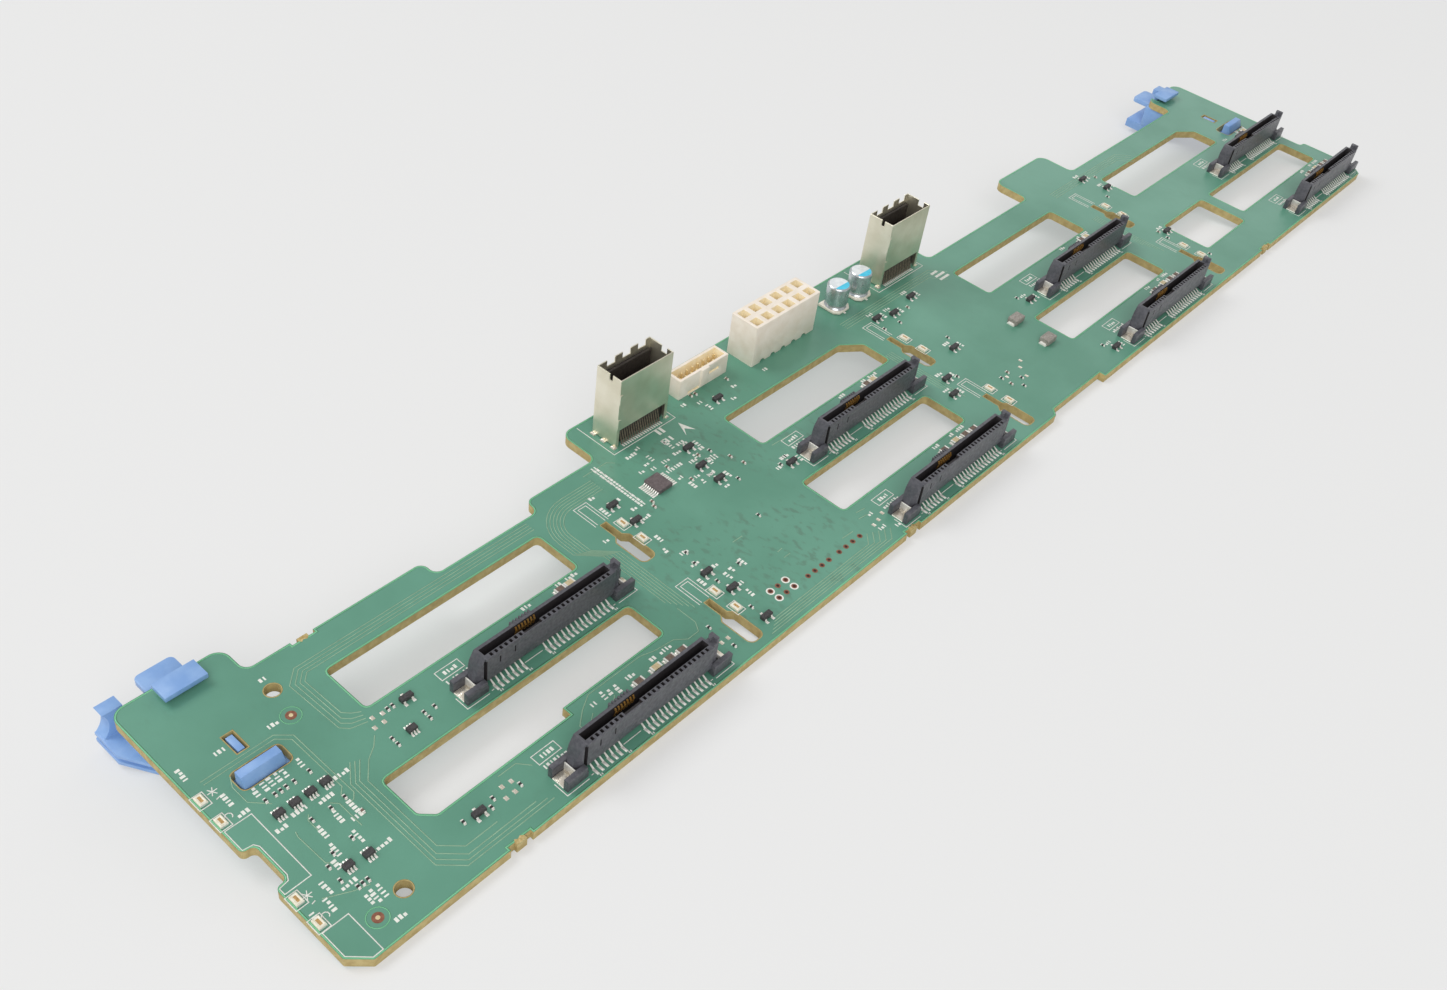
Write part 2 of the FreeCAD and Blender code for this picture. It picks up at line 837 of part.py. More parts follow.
def power_housing():
    """A block of open cells with small arches along its lower front and back edges."""
    body = box(0, power_length, 0, power_depth, 0, power_height)
    cutters = [pin(power_cavity, cell, -overcut, power_height + overcut) for cell in power_cells()]
    deep = power_margin - power_cavity / 2
    half = power_arch_width / 2
    for column in range(1, power_columns):
        x = power_margin + (column - 0.5) * power_pitch
        arch = [(x - half, 0), (x - half + power_arch_slope, power_arch_height),
                (x + half - power_arch_slope, power_arch_height), (x + half, 0)]
        cutters.append(front_profile(arch, 0, deep))
        cutters.append(front_profile(arch, power_depth - deep, power_depth))
    return body.cut(cutters)


def power_pins():
    return group([pin(power_pin, cell, 0, power_pin_height) for cell in power_cells()])


def signal_housing():
    """The low open box with a key on its front wall and a slot on each side of the key."""
    body = box(0, signal_length, 0, signal_depth, 0, signal_height)
    middle = signal_length / 2
    half = signal_key_width / 2
    key = box(middle - half, middle + half, -signal_key_depth, 0, signal_slot_height, signal_height)
    wall = signal_wall
    cavity = box(wall, signal_length - wall, wall, signal_depth - wall,
                 signal_floor, signal_height)
    slots = []
    for start, low in ((middle - half - signal_slot_length, signal_slot_low),
                       (middle + half, signal_slot_high)):
        slots.append(box(start, start + signal_slot_length, 0, wall / 2,
                         low, low + signal_slot_height))
    return joined([body, key]).cut([cavity] + slots)


def signal_pins():
    pieces = []
    start = signal_length / 2 - (signal_columns - 1) * signal_pitch / 2
    for side in (-1, 1):
        y = signal_depth / 2 + side * signal_row_gap / 2
        for column in range(signal_columns):
            x = start + column * signal_pitch
            pieces.append(pin(signal_pin, (x, y), signal_floor, signal_pin_height))
    return group(pieces)


def can():
    """A drawn can with a rolled waist and a bevelled rim, turned about its axis."""
    radius = can_diameter / 2
    low = can_base_height
    points = [(0, low), (radius, low), (radius - can_waist, low + can_waist_height / 2),
              (radius, low + can_waist_height), (radius, can_height - can_rim),
              (radius - can_rim, can_height), (0, can_height), (0, low)]
    section = Part.Face(Part.makePolygon([V(x, 0, z) for x, z in points]))
    return section.revolve(V(0, 0, 0), V(0, 0, 1), 360)


def can_base():
    """The square plastic foot with two bevelled front corners."""
    half = can_base_size / 2
    bevel = can_base_bevel
    return slab([(-half, half, 0), (-half, bevel - half, 0), (bevel - half, -half, 0),
                 (half - bevel, -half, 0), (half, bevel - half, 0), (half, half, 0)],
                can_foot_thickness, can_base_height)


def can_feet():
    """The two solder feet that stick out under the base."""
    end = can_base_size / 2 + can_foot_reach
    width = can_foot_width / 2
    return [box(-width, width, -end, -width, 0, can_foot_thickness),
            box(-width, width, width, end, 0, can_foot_thickness)]


def latch_plate():
    """The carrier against the underside of the board, and the thumb plate behind its edge."""
    x1 = latch_plate_x + latch_plate_width
    y0 = back_row_y + latch_slot_offset - latch_plate_lead
    thumb0 = latch_thumb_x
    thumb1 = latch_thumb_x + latch_thumb_width
    return slab([(latch_plate_x, y0, 0), (x1, y0, 0), (x1, end_tab_reach, 0),
                 (thumb1, end_tab_reach, 0), (thumb1, latch_back, latch_plate_radius),
                 (thumb0, latch_back, latch_plate_radius), (thumb0, end_tab_reach, 0),
                 (latch_plate_x, end_tab_reach, 0)], plate_bottom, board_bottom)


def latch_hook():
    """The big hook: a neck through its slot with a slanted lead-in face."""
    x0 = latch_slot_x + latch_fit
    x1 = latch_slot_x + latch_slot_length - latch_hook_end_gap
    y0 = back_row_y + latch_slot_offset + latch_fit
    y1 = y0 + latch_hook_depth
    return side_profile([(y0, board_bottom), (y1, board_bottom), (y1, latch_hook_rise),
                         (y0 + latch_hook_slope, latch_hook_rise), (y0, latch_hook_lip)], x0, x1)


def latch_peg():
    """The small peg that sits just below the top of its slot."""
    x0 = latch_peg_slot_x + latch_fit
    x1 = latch_peg_slot_x + latch_peg_slot_length - latch_fit
    y0 = back_row_y + latch_peg_slot_offset + latch_fit
    y1 = y0 + latch_peg_slot_width - 2 * latch_fit
    return box(x0, x1, y0, y1, board_bottom, -latch_peg_drop)


def latch_tab():
    """The flat tab that grips over the back edge, and its neck down the edge notch."""
    front = end_tab_reach - latch_notch_depth + latch_fit
    back = front + latch_neck_depth
    top = latch_tab_gap + latch_tab_thickness
    return [box(latch_tab_x, latch_tab_x + latch_tab_width, back - latch_tab_depth, back,
                latch_tab_gap, top),
            box(latch_notch_x + latch_fit, latch_notch_x + latch_notch_width - latch_fit,
                front, back, board_bottom, top)]


def latch_foot_outline(inset):
    """The foot seen from above, drawn in by an inset on its two outer sides."""
    x0 = inset - latch_foot_side
    x1 = latch_foot_width - latch_foot_side
    y0 = end_tab_reach - latch_foot_setback + inset
    y1 = end_tab_reach + latch_post_setback + latch_post_depth
    return [(x0 + latch_foot_taper, y0, 0), (x1, y0, 0), (x1, y1, 0), (x0, y1, 0),
            (x0, y0 + latch_foot_nose, 0)]


def latch_foot():
    """The foot that the back of the board stands on, grooved along its outer sides."""
    third = latch_foot_thickness / 3
    rims = [slab(latch_foot_outline(0), foot_bottom, foot_bottom + third),
            slab(latch_foot_outline(0), foot_top - third, foot_top)]
    core = slab(latch_foot_outline(latch_foot_groove), foot_bottom, foot_top)
    return rims + [core]


def latch_webs():
    """Two webs that carry the foot under the plate, with leaning front edges."""
    front = end_tab_reach - latch_foot_setback
    section = [(front + latch_foot_groove, foot_top), (end_tab_reach, foot_top),
               (end_tab_reach, plate_bottom), (front - latch_web_lean, plate_bottom)]
    thick = latch_web_thickness
    right = latch_plate_x + latch_plate_width - thick
    return [side_profile(section, x, x + thick) for x in (latch_plate_x, right)]


def latch_post():
    """The finger post behind the corner, pinched on its outer side."""
    y0 = end_tab_reach + latch_post_setback
    x0 = latch_post_inset - latch_foot_side
    x1 = x0 + latch_post_width
    top = board_bottom - latch_fit
    low = V(x0 - latch_post_flare, y0, foot_top)
    waist = V(x0 + latch_post_waist, y0, (foot_top + top) / 2)
    head = V(x0, y0, top)
    inner_head = V(x1, y0, top)
    inner_low = V(x1, y0, foot_top)
    edges = [Part.Arc(low, waist, head).toShape(), line(head, inner_head),
             line(inner_head, inner_low), line(inner_low, low)]
    return Part.Face(Part.Wire(edges)).extrude(V(0, latch_post_depth, 0))


def latch():
    """The left latch, one flexing moulding snapped into the board."""
    return joined([latch_plate(), latch_post(), latch_hook(), latch_peg()]
                  + latch_foot() + latch_webs() + latch_tab())


def packages(size, parts):
    """Bodies of one size, one for each listed part."""
    return [lying(size, spot(*part)) for part in parts]


def chip_capacitors():
    """The row of capacitors behind each socket."""
    return [lying(capacitor_size, spot(column, row, x, y))
            for column in range(column_count) for row, x, y in capacitor_offsets]


def status_lights():
    """Two lights per drive, at the left end and between the columns."""
    pieces = []
    for row in range(row_count):
        for y in light_rows:
            pieces.append(lying(light_size, (light_edge, spot(0, row, 0, y)[1])))
            for column in range(column_count - 1):
                pieces.append(lying(light_size, spot(column, row, light_offset, y)))
    return pieces


def controller_leads():
    """Legs along both sides of the controller."""
    x, y = spot(0, 0, *controller_place)
    half = controller_size[0] / 2
    start = y - (controller_legs - 1) * controller_leg_pitch / 2
    width = controller_leg_pitch / 4
    pieces = []
    for index in range(controller_legs):
        middle = start + index * controller_leg_pitch
        for side in (-1, 1):
            x0, x1 = span(x + side * half, controller_leg_reach, side)
            pieces.append(box(x0, x1, middle - width, middle + width, 0, controller_leg_height))
    return pieces


def socket_nodes():
    """The eight sockets, numbered column by column from the front left."""
    pieces = {"drive_socket": socket_housing(), "drive_socket_contacts": socket_contacts(),
              "drive_socket_tabs": socket_solder_tabs()}
    nodes = {}
    for column in range(column_count):
        for row in range(row_count):
            number = column * row_count + row + 1
            for name, shape in pieces.items():
                nodes[f"{name}_{number}"] = moved(shape, spot(column, row))
    return nodes


def connector_nodes():
    """The two cable ports and the two headers along the back edge."""
    pieces = {"cable_port_shell": port_shell(), "cable_port_insulator": port_insulator(),
              "cable_port_contacts": port_tails()}
    nodes = {}
    for index, letter in enumerate("ab"):
        for name, shape in pieces.items():
            nodes[f"{name}_{letter}"] = moved(shape, (port_first_x + index * port_spacing, port_row_y))
    power = (headers_x + power_offset, port_tab_reach - power_edge_gap - power_depth)
    signal = (headers_x + signal_offset, port_tab_reach - signal_edge_gap - signal_depth)
    nodes["power_header"] = moved(power_housing(), power)
    nodes["power_header_pins"] = moved(power_pins(), power)
    nodes["signal_header"] = moved(signal_housing(), signal)
    nodes["signal_header_pins"] = moved(signal_pins(), signal)
    return nodes


def can_nodes():
    """The two can capacitors between the power header and the second port."""
    nodes = {}
    feet = []
    for number in (1, 2):
        place = (headers_x + can_offset + (number - 1) * can_spacing, port_tab_reach - can_edge_gap)
        nodes[f"capacitor_can_{number}"] = moved(can(), place)
        nodes[f"capacitor_base_{number}"] = moved(can_base(), place)
        feet += [moved(foot, place) for foot in can_feet()]
    nodes["capacitor_feet"] = group(feet)
    return nodes


def chip_nodes():
    """The soldered chips, grouped by kind."""
    header_part = (headers_x + header_part_offset[0], port_row_y - header_part_offset[1])
    return {
        "controller_chip": lying(controller_size, spot(0, 0, *controller_place)),
        "controller_chip_legs": group(controller_leads()),
        "transistors": group(packages(three_leg_body, three_leg_parts)
                             + packages(six_leg_body, six_leg_parts)
                             + [lying(three_leg_body, header_part)]),
        "chip_capacitors": group(chip_capacitors()),
        "inductors": group(packages(inductor_size, inductor_parts)),
        "status_lights": group(status_lights()),
    }


def main():
    os.makedirs("parts", exist_ok=True)
    left = latch()
    nodes = {"circuit_board": circuit_board(), "latch_left": left, "latch_right": mirrored(left)}
    nodes.update(socket_nodes())
    nodes.update(connector_nodes())
    nodes.update(can_nodes())
    nodes.update(chip_nodes())
    to_frame = V(-board_length / 2, -latch_back / 2, -foot_bottom)
    for name, shape in nodes.items():
        shape.translate(to_frame)
        shape.exportStep(f"parts/{name}.step")
        print(name, len(shape.Solids), round(shape.Volume, 2), shape.isValid())


main()
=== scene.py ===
import math
import random

import bmesh
import bpy
from mathutils import Matrix, Vector


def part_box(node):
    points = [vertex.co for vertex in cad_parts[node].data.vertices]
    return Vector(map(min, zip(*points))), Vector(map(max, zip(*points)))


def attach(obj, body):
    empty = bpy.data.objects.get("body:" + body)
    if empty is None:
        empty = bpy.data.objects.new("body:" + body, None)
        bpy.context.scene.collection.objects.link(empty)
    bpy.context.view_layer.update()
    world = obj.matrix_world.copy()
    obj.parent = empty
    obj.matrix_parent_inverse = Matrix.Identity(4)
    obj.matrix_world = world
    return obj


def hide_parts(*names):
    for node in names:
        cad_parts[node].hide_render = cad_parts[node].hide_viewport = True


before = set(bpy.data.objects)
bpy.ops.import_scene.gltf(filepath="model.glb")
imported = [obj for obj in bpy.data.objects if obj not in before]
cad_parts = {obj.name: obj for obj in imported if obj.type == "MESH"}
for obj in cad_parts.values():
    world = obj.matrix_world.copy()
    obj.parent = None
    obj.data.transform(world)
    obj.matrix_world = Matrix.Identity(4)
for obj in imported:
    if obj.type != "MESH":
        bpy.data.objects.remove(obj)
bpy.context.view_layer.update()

random.seed(7)
mm = 0.001
body = "root"

# Sizes that the solids share with their finer pieces, in millimetres
column_count = 4
row_count = 2
column_pitch = 107.1
lead_pitch = 1.27
lead_width = 0.45
signal_leads = 7
power_leads = 15
power_group = 13.97
comb_pitch = 0.8
comb_ribs = 7
comb_start = 8.35
spring_wall = 4.25
# The faces between the mouth bounds, measured from the first lead, get painted shade: the mouth and the
# undercut below its front
mouth_front = 1.4
mouth_back = 4.5
mouth_floor = 0.9
mouth_rim = 8.3
mouth_left = -1.5
mouth_right = 33.2
pocket_front = 1.6
pocket_back = 2.15
pocket_floor = 7.0
pocket_front_shift = 0.1
pocket_back_shift = 0.15
spring_top = 8.0
port_wall_lift = 4.3
port_leg = 0.8
port_leg_reach = 7.0
tail_count = 18
tail_pitch = 0.75
header_wall = 0.6

# The board's face and edges: widths of lines, heights of films and rounding, in millimetres
rim_width = 0.5
bare_rim_width = 0.28
rim_height = 0.012
small_opening = 20.0
corner_easing = 0.17
notch_rounding = 1.15
track_width = 0.26
track_height = 0.018
ink_width = 0.24
ink_height = 0.02
bar_pitch = 0.86
bar_half = 0.5
fiducials = ((24.0, 50.3), (8.8, 5.7))

# The streaks in the mask are strongest about this place and fade between two distances from it
streak_middle = (-81.5, -11.7, 12.1)
streak_near = 28.0
streak_far = 62.0

# Where the soldered parts lie: column, row, then X and Y from the first lead of that socket
three_leg_parts = (
    (0, 0, -21.9, 8.1), (0, 0, 54.0, 20.9), (0, 0, 54.8, 14.1), (0, 0, 54.0, 3.8),
    (0, 1, -14.5, 9.7), (0, 1, 53.5, 21.5), (0, 1, 54.0, 14.6),
    (1, 0, 45.6, 25.8), (1, 0, 41.7, 20.8), (1, 1, -25.9, 23.7), (1, 1, -28.3, 17.4),
    (1, 1, -28.4, 11.6), (1, 1, -10.9, 4.1), (1, 1, 52.3, 26.2),
    (1, 1, 58.1, 24.7), (1, 1, 58.3, 4.7), (1, 1, 68.3, 26.4),
    (2, 0, -12.3, 3.1), (2, 1, -12.3, 3.6), (2, 0, 54.3, 23.5), (2, 1, 59.3, 29.3),
    (2, 1, 61.6, 21.6),
)
six_leg_parts = (
    (0, 0, -45.2, 15.3), (0, 0, -41.2, 14.8), (0, 1, -47.3, 4.4), (0, 1, -43.9, 4.4),
    (0, 1, -40.6, 4.4), (0, 1, -37.3, 4.4), (0, 1, -18.5, 3.2),
)
capacitor_offsets = ((0, 21.2, 9.6), (0, 26.4, 9.8), (0, 30.2, 9.6), (0, 33.6, 9.4),
                     (1, 26.9, 10.5), (1, 29.6, 10.5))
inductor_places = ((1, 82.5, 0.6), (0, 81.7, 17.3))
resistor_parts = (
    (0, 1, -47.3, 8.4), (0, 1, -45.3, 8.4), (0, 1, -44.1, 8.4), (0, 1, -42.9, 8.4), (0, 1, -41.2, 8.4),
    (0, 1, -37.9, 8.4), (0, 1, -43.9, -0.4), (0, 1, -40.0, -0.7), (0, 1, -36.8, -0.4),
    (0, 0, -45.5, 19.2), (0, 0, -41.2, 19.5), (0, 0, -47.7, 17.5), (0, 0, -47.9, 14.0),
    (0, 0, -46.5, 11.0), (0, 0, -45.5, 11.0), (0, 0, -44.4, 11.0), (0, 1, -18.7, 10.1),
    (0, 1, -17.5, 10.1), (0, 1, -22.5, 4.0), (0, 1, -22.5, 2.3), (0, 1, -14.2, 4.8),
    (0, 1, -14.2, 3.1), (0, 1, -11.8, 4.6), (0, 0, -25.1, 8.6), (0, 0, -19.4, 7.5),
    (0, 0, -17.9, 8.8), (0, 0, -12.2, 7.7), (0, 1, 55.2, 0.5), (0, 0, 54.2, 24.6),
    (0, 0, 54.0, 17.7), (0, 0, 61.5, 18.1), (0, 0, 53.8, 7.8), (0, 0, 76.5, 25.2),
    (0, 0, 42.7, 10.0), (0, 0, 42.9, 3.1), (1, 1, -22.6, 19.8), (1, 1, -24.8, 8.8),
    (1, 1, -13.4, 5.4), (1, 1, 50.4, 22.1), (1, 1, 56.2, 21.2), (1, 1, 61.0, 8.6),
    (1, 0, 48.8, 24.6), (1, 0, 57.6, 16.4), (1, 0, 62.1, 13.0), (1, 0, 59.7, 10.7),
    (2, 0, -14.6, 6.0), (2, 1, -14.7, 6.5), (2, 0, 51.2, 21.4), (2, 0, 54.0, 8.4), (2, 1, 57.0, 18.6),
)
bead_parts = (
    (0, 1, -36.4, -4.9), (0, 0, 61.4, 44.2), (0, 0, 72.5, 50.0), (0, 0, 60.6, 42.8), (0, 0, 73.8, 43.4),
    (1, 1, -20.4, 15.2), (1, 1, -19.6, 11.6), (1, 0, 57.6, 13.4), (1, 0, 60.9, 16.8),
    (1, 1, 63.6, 24.0), (2, 0, 51.8, 25.0), (2, 1, 64.4, 27.5),
    (0, 0, 97.6, 64.0), (0, 0, 108.1, 62.9), (0, 0, 81.2, 48.1), (0, 0, 96.2, 64.3),
)
light_offset = 51.3
light_edge = 1.2
light_rows = (9.9, 16.0)

board_low, board_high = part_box("circuit_board")
board_top = board_high.z
board_thickness = board_high.z - board_low.z


def linear(code):
    """An sRGB hex colour as linear values."""
    channels = [int(code[at:at + 2], 16) / 255 for at in (1, 3, 5)]
    return [c / 12.92 if c <= 0.04045 else ((c + 0.055) / 1.055) ** 2.4 for c in channels] + [1.0]


def add(tree, kind, inputs=None, **settings):
    """Adds a node with its settings and its inputs, each a value or another node's output."""
    made = tree.nodes.new("ShaderNode" + kind)
    for name, value in settings.items():
        setattr(made, name, value)
    for name, value in (inputs or {}).items():
        if isinstance(value, bpy.types.NodeSocket):
            tree.links.new(value, made.inputs[name])
        else:
            made.inputs[name].default_value = value
    return made


def noise(tree, place, grain, detail):
    """Noise with a grain in millimetres."""
    made = add(tree, "TexNoise", {"Vector": place, "Scale": 1 / (grain * mm), "Detail": detail})
    return made.outputs["Fac"]


def ranged(tree, value, start, end, low=0.0, high=1.0):
    """A value brought from one range to another."""
    return add(tree, "MapRange", {"Value": value, "From Min": start, "From Max": end,
                                  "To Min": low, "To Max": high}).outputs[0]


def blend(tree, share, first, second):
    """Two colours mixed by a share."""
    return add(tree, "Mix", {0: share, 6: first, 7: second}, data_type="RGBA").outputs[2]


def emboss(tree, shader, height, strength, depth):
    """Gives a shader relief of a depth in millimetres."""
    bump = add(tree, "Bump", {"Height": height, "Strength": strength, "Distance": depth * mm})
    tree.links.new(bump.outputs["Normal"], shader.inputs["Normal"])


def finish(name, colours, grain, roughness, metallic=0.0, relief=0.0, coat=0.0):
    """A finish of two close colours mottled at a grain in millimetres, with its gloss and relief."""
    made = bpy.data.materials.new(name)
    made.use_nodes = True
    tree = made.node_tree
    tree.nodes.clear()
    place = add(tree, "TexCoord").outputs["Object"]
    cloud = noise(tree, place, grain, 5.0)
    tint = blend(tree, ranged(tree, cloud, 0.35, 0.65), *[linear(colour) for colour in colours])
    gloss = ranged(tree, cloud, 0.3, 0.7, *roughness)
    shader = add(tree, "BsdfPrincipled", {"Base Color": tint, "Roughness": gloss, "Metallic": metallic,
                                          "Coat Weight": coat})
    if relief:
        emboss(tree, shader, noise(tree, place, grain / 4, 3.0), 0.6, relief)
    out = add(tree, "OutputMaterial")
    tree.links.new(shader.outputs[0], out.inputs["Surface"])
    return made


def workings(made):
    """The node tree, shader, tint and coordinates of a finish, for one that adds to them."""
    tree = made.node_tree
    shader = next(n for n in tree.nodes if n.type == "BSDF_PRINCIPLED")
    tint = shader.inputs["Base Color"].links[0].from_socket
    place = next(n for n in tree.nodes if n.type == "TEX_COORD").outputs["Object"]
    return tree, shader, tint, place


def solder_mask(name, light, dark, streaks):
    """Cured green solder mask: an even semi-gloss film, with faint dusky streaks over buried copper."""
    made = finish(name, (light, dark), 26.0, (0.3, 0.4), relief=0.003)
    tree, shader, tint, place = workings(made)
    drawn = add(tree, "Mapping", {"Vector": place, "Scale": (1.0, 0.55, 1.0)})
    share = ranged(tree, noise(tree, drawn.outputs[0], 1.3, 2.0), 0.54, 0.68, 0.0, streaks)
    area = ranged(tree, noise(tree, place, 17.0, 1.0), 0.42, 0.6)
    away = add(tree, "VectorMath", {0: place, 1: Vector(streak_middle) * mm}, operation="DISTANCE")
    near = ranged(tree, away.outputs["Value"], streak_near * mm, streak_far * mm, 1.0, 0.12)
    for factor in (area, near):
        share = add(tree, "Math", {0: share, 1: factor}, operation="MULTIPLY").outputs[0]
    tree.links.new(blend(tree, share, tint, linear("#55705f")), shader.inputs["Base Color"])
    return made


def brushed_nickel():
    """Nickel-plated steel strip: a smooth warm mirror with fine streaks down its rolling direction."""
    gloss = (0.3, 0.42)
    made = finish("nickel_plated_steel", ("#f2edda", "#e4dec8"), 6.0, gloss, metallic=0.9)
    tree, shader, _, place = workings(made)
    drawn = add(tree, "Mapping", {"Vector": place, "Scale": (1.0, 1.0, 0.06)})
    streak = noise(tree, drawn.outputs[0], 0.8, 4.0)
    tree.links.new(ranged(tree, streak, 0.3, 0.7, *gloss), shader.inputs["Roughness"])
    emboss(tree, shader, streak, 0.2, 0.004)
    return made


def laminate_edge():
    """Routed glass-fibre laminate: olive tan, with the glass layers showing as thin level bands."""
    made = finish("routed_laminate_edge", ("#c0ae74", "#a8925a"), 1.5, (0.6, 0.8), relief=0.02)
    tree, shader, tint, place = workings(made)
    layer_pitch = 0.38
    bands = add(tree, "TexWave", {"Vector": place, "Scale": 0.314 / (layer_pitch * mm),
                                  "Distortion": 1.5, "Detail": 2.0}, bands_direction="Z")
    share = ranged(tree, bands.outputs["Fac"], 0.0, 1.0, 0.0, 0.4)
    tree.links.new(blend(tree, share, tint, linear("#c3b488")), shader.inputs["Base Color"])
    return made


# Solder mask over the copper pour, and the brighter line where the copper stops short of an edge
mask = solder_mask("solder_mask_over_copper", "#659c86", "#598f79", 0.5)
rim_mask = solder_mask("solder_mask_over_laminate", "#7cc497", "#6db489", 0.1)
edge = laminate_edge()
nickel = brushed_nickel()
# Bare torn laminate where the board was snapped out of its panel: rough pale tan
torn_laminate = finish("torn_laminate", ("#cdb985", "#a88f57"), 0.5, (0.7, 0.9), relief=0.06)
# Epoxy ink: matt warm white, a little broken
ink = finish("white_epoxy_ink", ("#f0f0e8", "#dfe1d8"), 0.8, (0.6, 0.75), relief=0.006)
# Mask over a copper track: the same green, paler and a little browner, because the film is thin there
track_mask = finish("solder_mask_over_track", ("#98bd9f", "#88ae91"), 3.0, (0.3, 0.4))
# Reflowed tin solder: bright, soft-edged metal
tin = finish("reflowed_tin", ("#fcfaf4", "#ebe7de"), 0.9, (0.3, 0.46), metallic=0.35, relief=0.02)
# Solder flooded over a wide tab: brighter and wetter than on the leads
flood = finish("flooded_solder", ("#f8f1e4", "#ddd2bf"), 1.4, (0.16, 0.34), metallic=0.65, relief=0.03)
# Gold flash on the contact springs: warm, smooth
gold = finish("gold_flash", ("#f3c271", "#e5a84f"), 0.7, (0.22, 0.35), metallic=0.75)
# The plated pins of the headers: paler gold
pin_gold = finish("gold_plated_pins", ("#f6e3b6", "#e8d09b"), 0.7, (0.25, 0.4), metallic=0.5)
# Bare oxidised copper round the probe holes: dull red brown; and near black for the painted shade down each
# hole
copper = finish("bare_copper", ("#94614a", "#7c4b37"), 0.6, (0.45, 0.65), metallic=0.1)
hole_shade = finish("painted_shade_down_a_hole", ("#3f1c12", "#2c120c"), 0.3, (0.6, 0.8))
# Moulded glass-filled black polymer: slate grey, silky, with fine grit
black_plastic = finish("moulded_black_polymer", ("#5b5b61", "#4b4b51"), 0.7, (0.32, 0.46), relief=0.01)
# The same polymer, darker and a little browner: painted shade for the faces down in the mouths and under
# the front overhang
painted_shade_plastic = finish("moulded_black_polymer_painted_shade", ("#2e2a2c", "#252224"), 0.7, (0.5, 0.65))
# The insulator of the ports: brown black, duller
port_plastic = finish("port_liquid_crystal_polymer", ("#38322e", "#282320"), 0.7, (0.5, 0.65), relief=0.01)
# Tails of the ports: tin over copper, painted a dark brown grey for the shade they lie in under the shell
shaded_tin = finish("tin_in_painted_shade", ("#97897a", "#75695d"), 0.5, (0.35, 0.5), metallic=0.7)
# Natural nylon: creamy, soft gloss; and a warmer copy with painted light for inside the cavities, where
# light bounces and passes through the nylon
nylon = finish("natural_nylon", ("#f8eee1", "#f0e4d4"), 3.0, (0.42, 0.58), relief=0.008)
nylon_painted_light = finish("natural_nylon_painted_light", ("#f8ebcb", "#f1dfb6"), 1.6, (0.5, 0.65), relief=0.008)
# Blue moulded acetal: waxy, soft highlights
blue_plastic = finish("blue_moulded_acetal", ("#8fb3e3", "#7da4da"), 4.0, (0.35, 0.5), relief=0.008)
# The square bases of the cans: moulded, ivory, fairly matt
pale_plastic = finish("moulded_pale_polymer", ("#efe9dc", "#e2dac9"), 0.8, (0.45, 0.6), relief=0.01)
# Drawn aluminium cans: bright sides, and a top painted near white for the reflection of the bright light
# above, with a cyan segment
aluminium = finish("drawn_aluminium", ("#dde2e4", "#c3c9cd"), 1.2, (0.22, 0.36), metallic=0.9)
can_top_reflection = finish("can_top_painted_reflection", ("#eef2f3", "#dfe5e8"), 1.2, (0.3, 0.42), metallic=0.2)
cyan_ink = finish("cyan_polarity_ink", ("#55d2f0", "#45c4e6"), 1.0, (0.35, 0.5))
# Epoxy chip bodies: matt black brown with fine filler, and plum grey on the controller
epoxy = finish("epoxy_chip_body", ("#454344", "#343233"), 0.4, (0.5, 0.7), relief=0.01)
plum_epoxy = finish("epoxy_controller_body", ("#6d6263", "#5a5051"), 0.5, (0.45, 0.6), relief=0.01)
# Barium titanate ceramic: chalky tan, and paler in some parts
ceramic = finish("capacitor_ceramic_body", ("#857264", "#6c5a4e"), 0.6, (0.5, 0.65), relief=0.008)
pale_ceramic = finish("pale_ceramic_body", ("#e2d2ac", "#cfba8f"), 0.6, (0.45, 0.6), relief=0.008)
# Glazed film of the chip resistors: near black
glaze = finish("resistor_glaze", ("#33302f", "#232120"), 0.3, (0.3, 0.45))
# White resin of the lights, and the warm clear window over the die
light_base = finish("light_base_resin", ("#f3efdf", "#e3dcc5"), 0.5, (0.35, 0.5))
lens_resin = finish("light_window_resin", ("#c9a368", "#a9854f"), 0.4, (0.1, 0.2), coat=0.5)
# Ferrite in a grey coating
ferrite = finish("coated_ferrite", ("#a39d95", "#857f77"), 0.5, (0.4, 0.6), relief=0.01)


def linked(name, data):
    """A new object in the scene, made of some data."""
    made = bpy.data.objects.new(name, data)
    bpy.context.collection.objects.link(made)
    return made


def deselect():
    bpy.ops.object.select_all(action="DESELECT")


def pick(*pieces):
    """Selects only these pieces, and makes the first one active."""
    deselect()
    for piece in pieces:
        piece.select_set(True)
    bpy.context.view_layer.objects.active = pieces[0]


def edit():
    bpy.ops.object.mode_set(mode="EDIT")


def leave():
    bpy.ops.object.mode_set(mode="OBJECT")


def choose(kind, keep):
    """In edit mode, selects only the verts, edges or faces for which keep is true."""
    bpy.ops.mesh.select_all(action="DESELECT")
    bpy.context.tool_settings.mesh_select_mode = [kind == each for each in ("verts", "edges", "faces")]
    mesh = bmesh.from_edit_mesh(bpy.context.object.data)
    for element in getattr(mesh, kind):
        if keep(element):
            element.select_set(True)
    mesh.select_flush_mode()
    bmesh.update_edit_mesh(bpy.context.object.data)


def painted(piece, finishes):
    """Gives a piece its materials, in the order of its face indices."""
    piece.data.materials.clear()
    for each in finishes:
        piece.data.materials.append(each)
    return piece


def rises(each, height):
    """Whether an edge climbs by more than a height in metres."""
    return abs(each.verts[0].co.z - each.verts[1].co.z) > height


def paint(index, keep=None):
    """In edit mode, gives the chosen faces, or those for which keep is true, one of the materials."""
    if keep:
        choose("faces", keep)
    bpy.context.object.active_material_index = index
    bpy.ops.object.material_slot_assign()


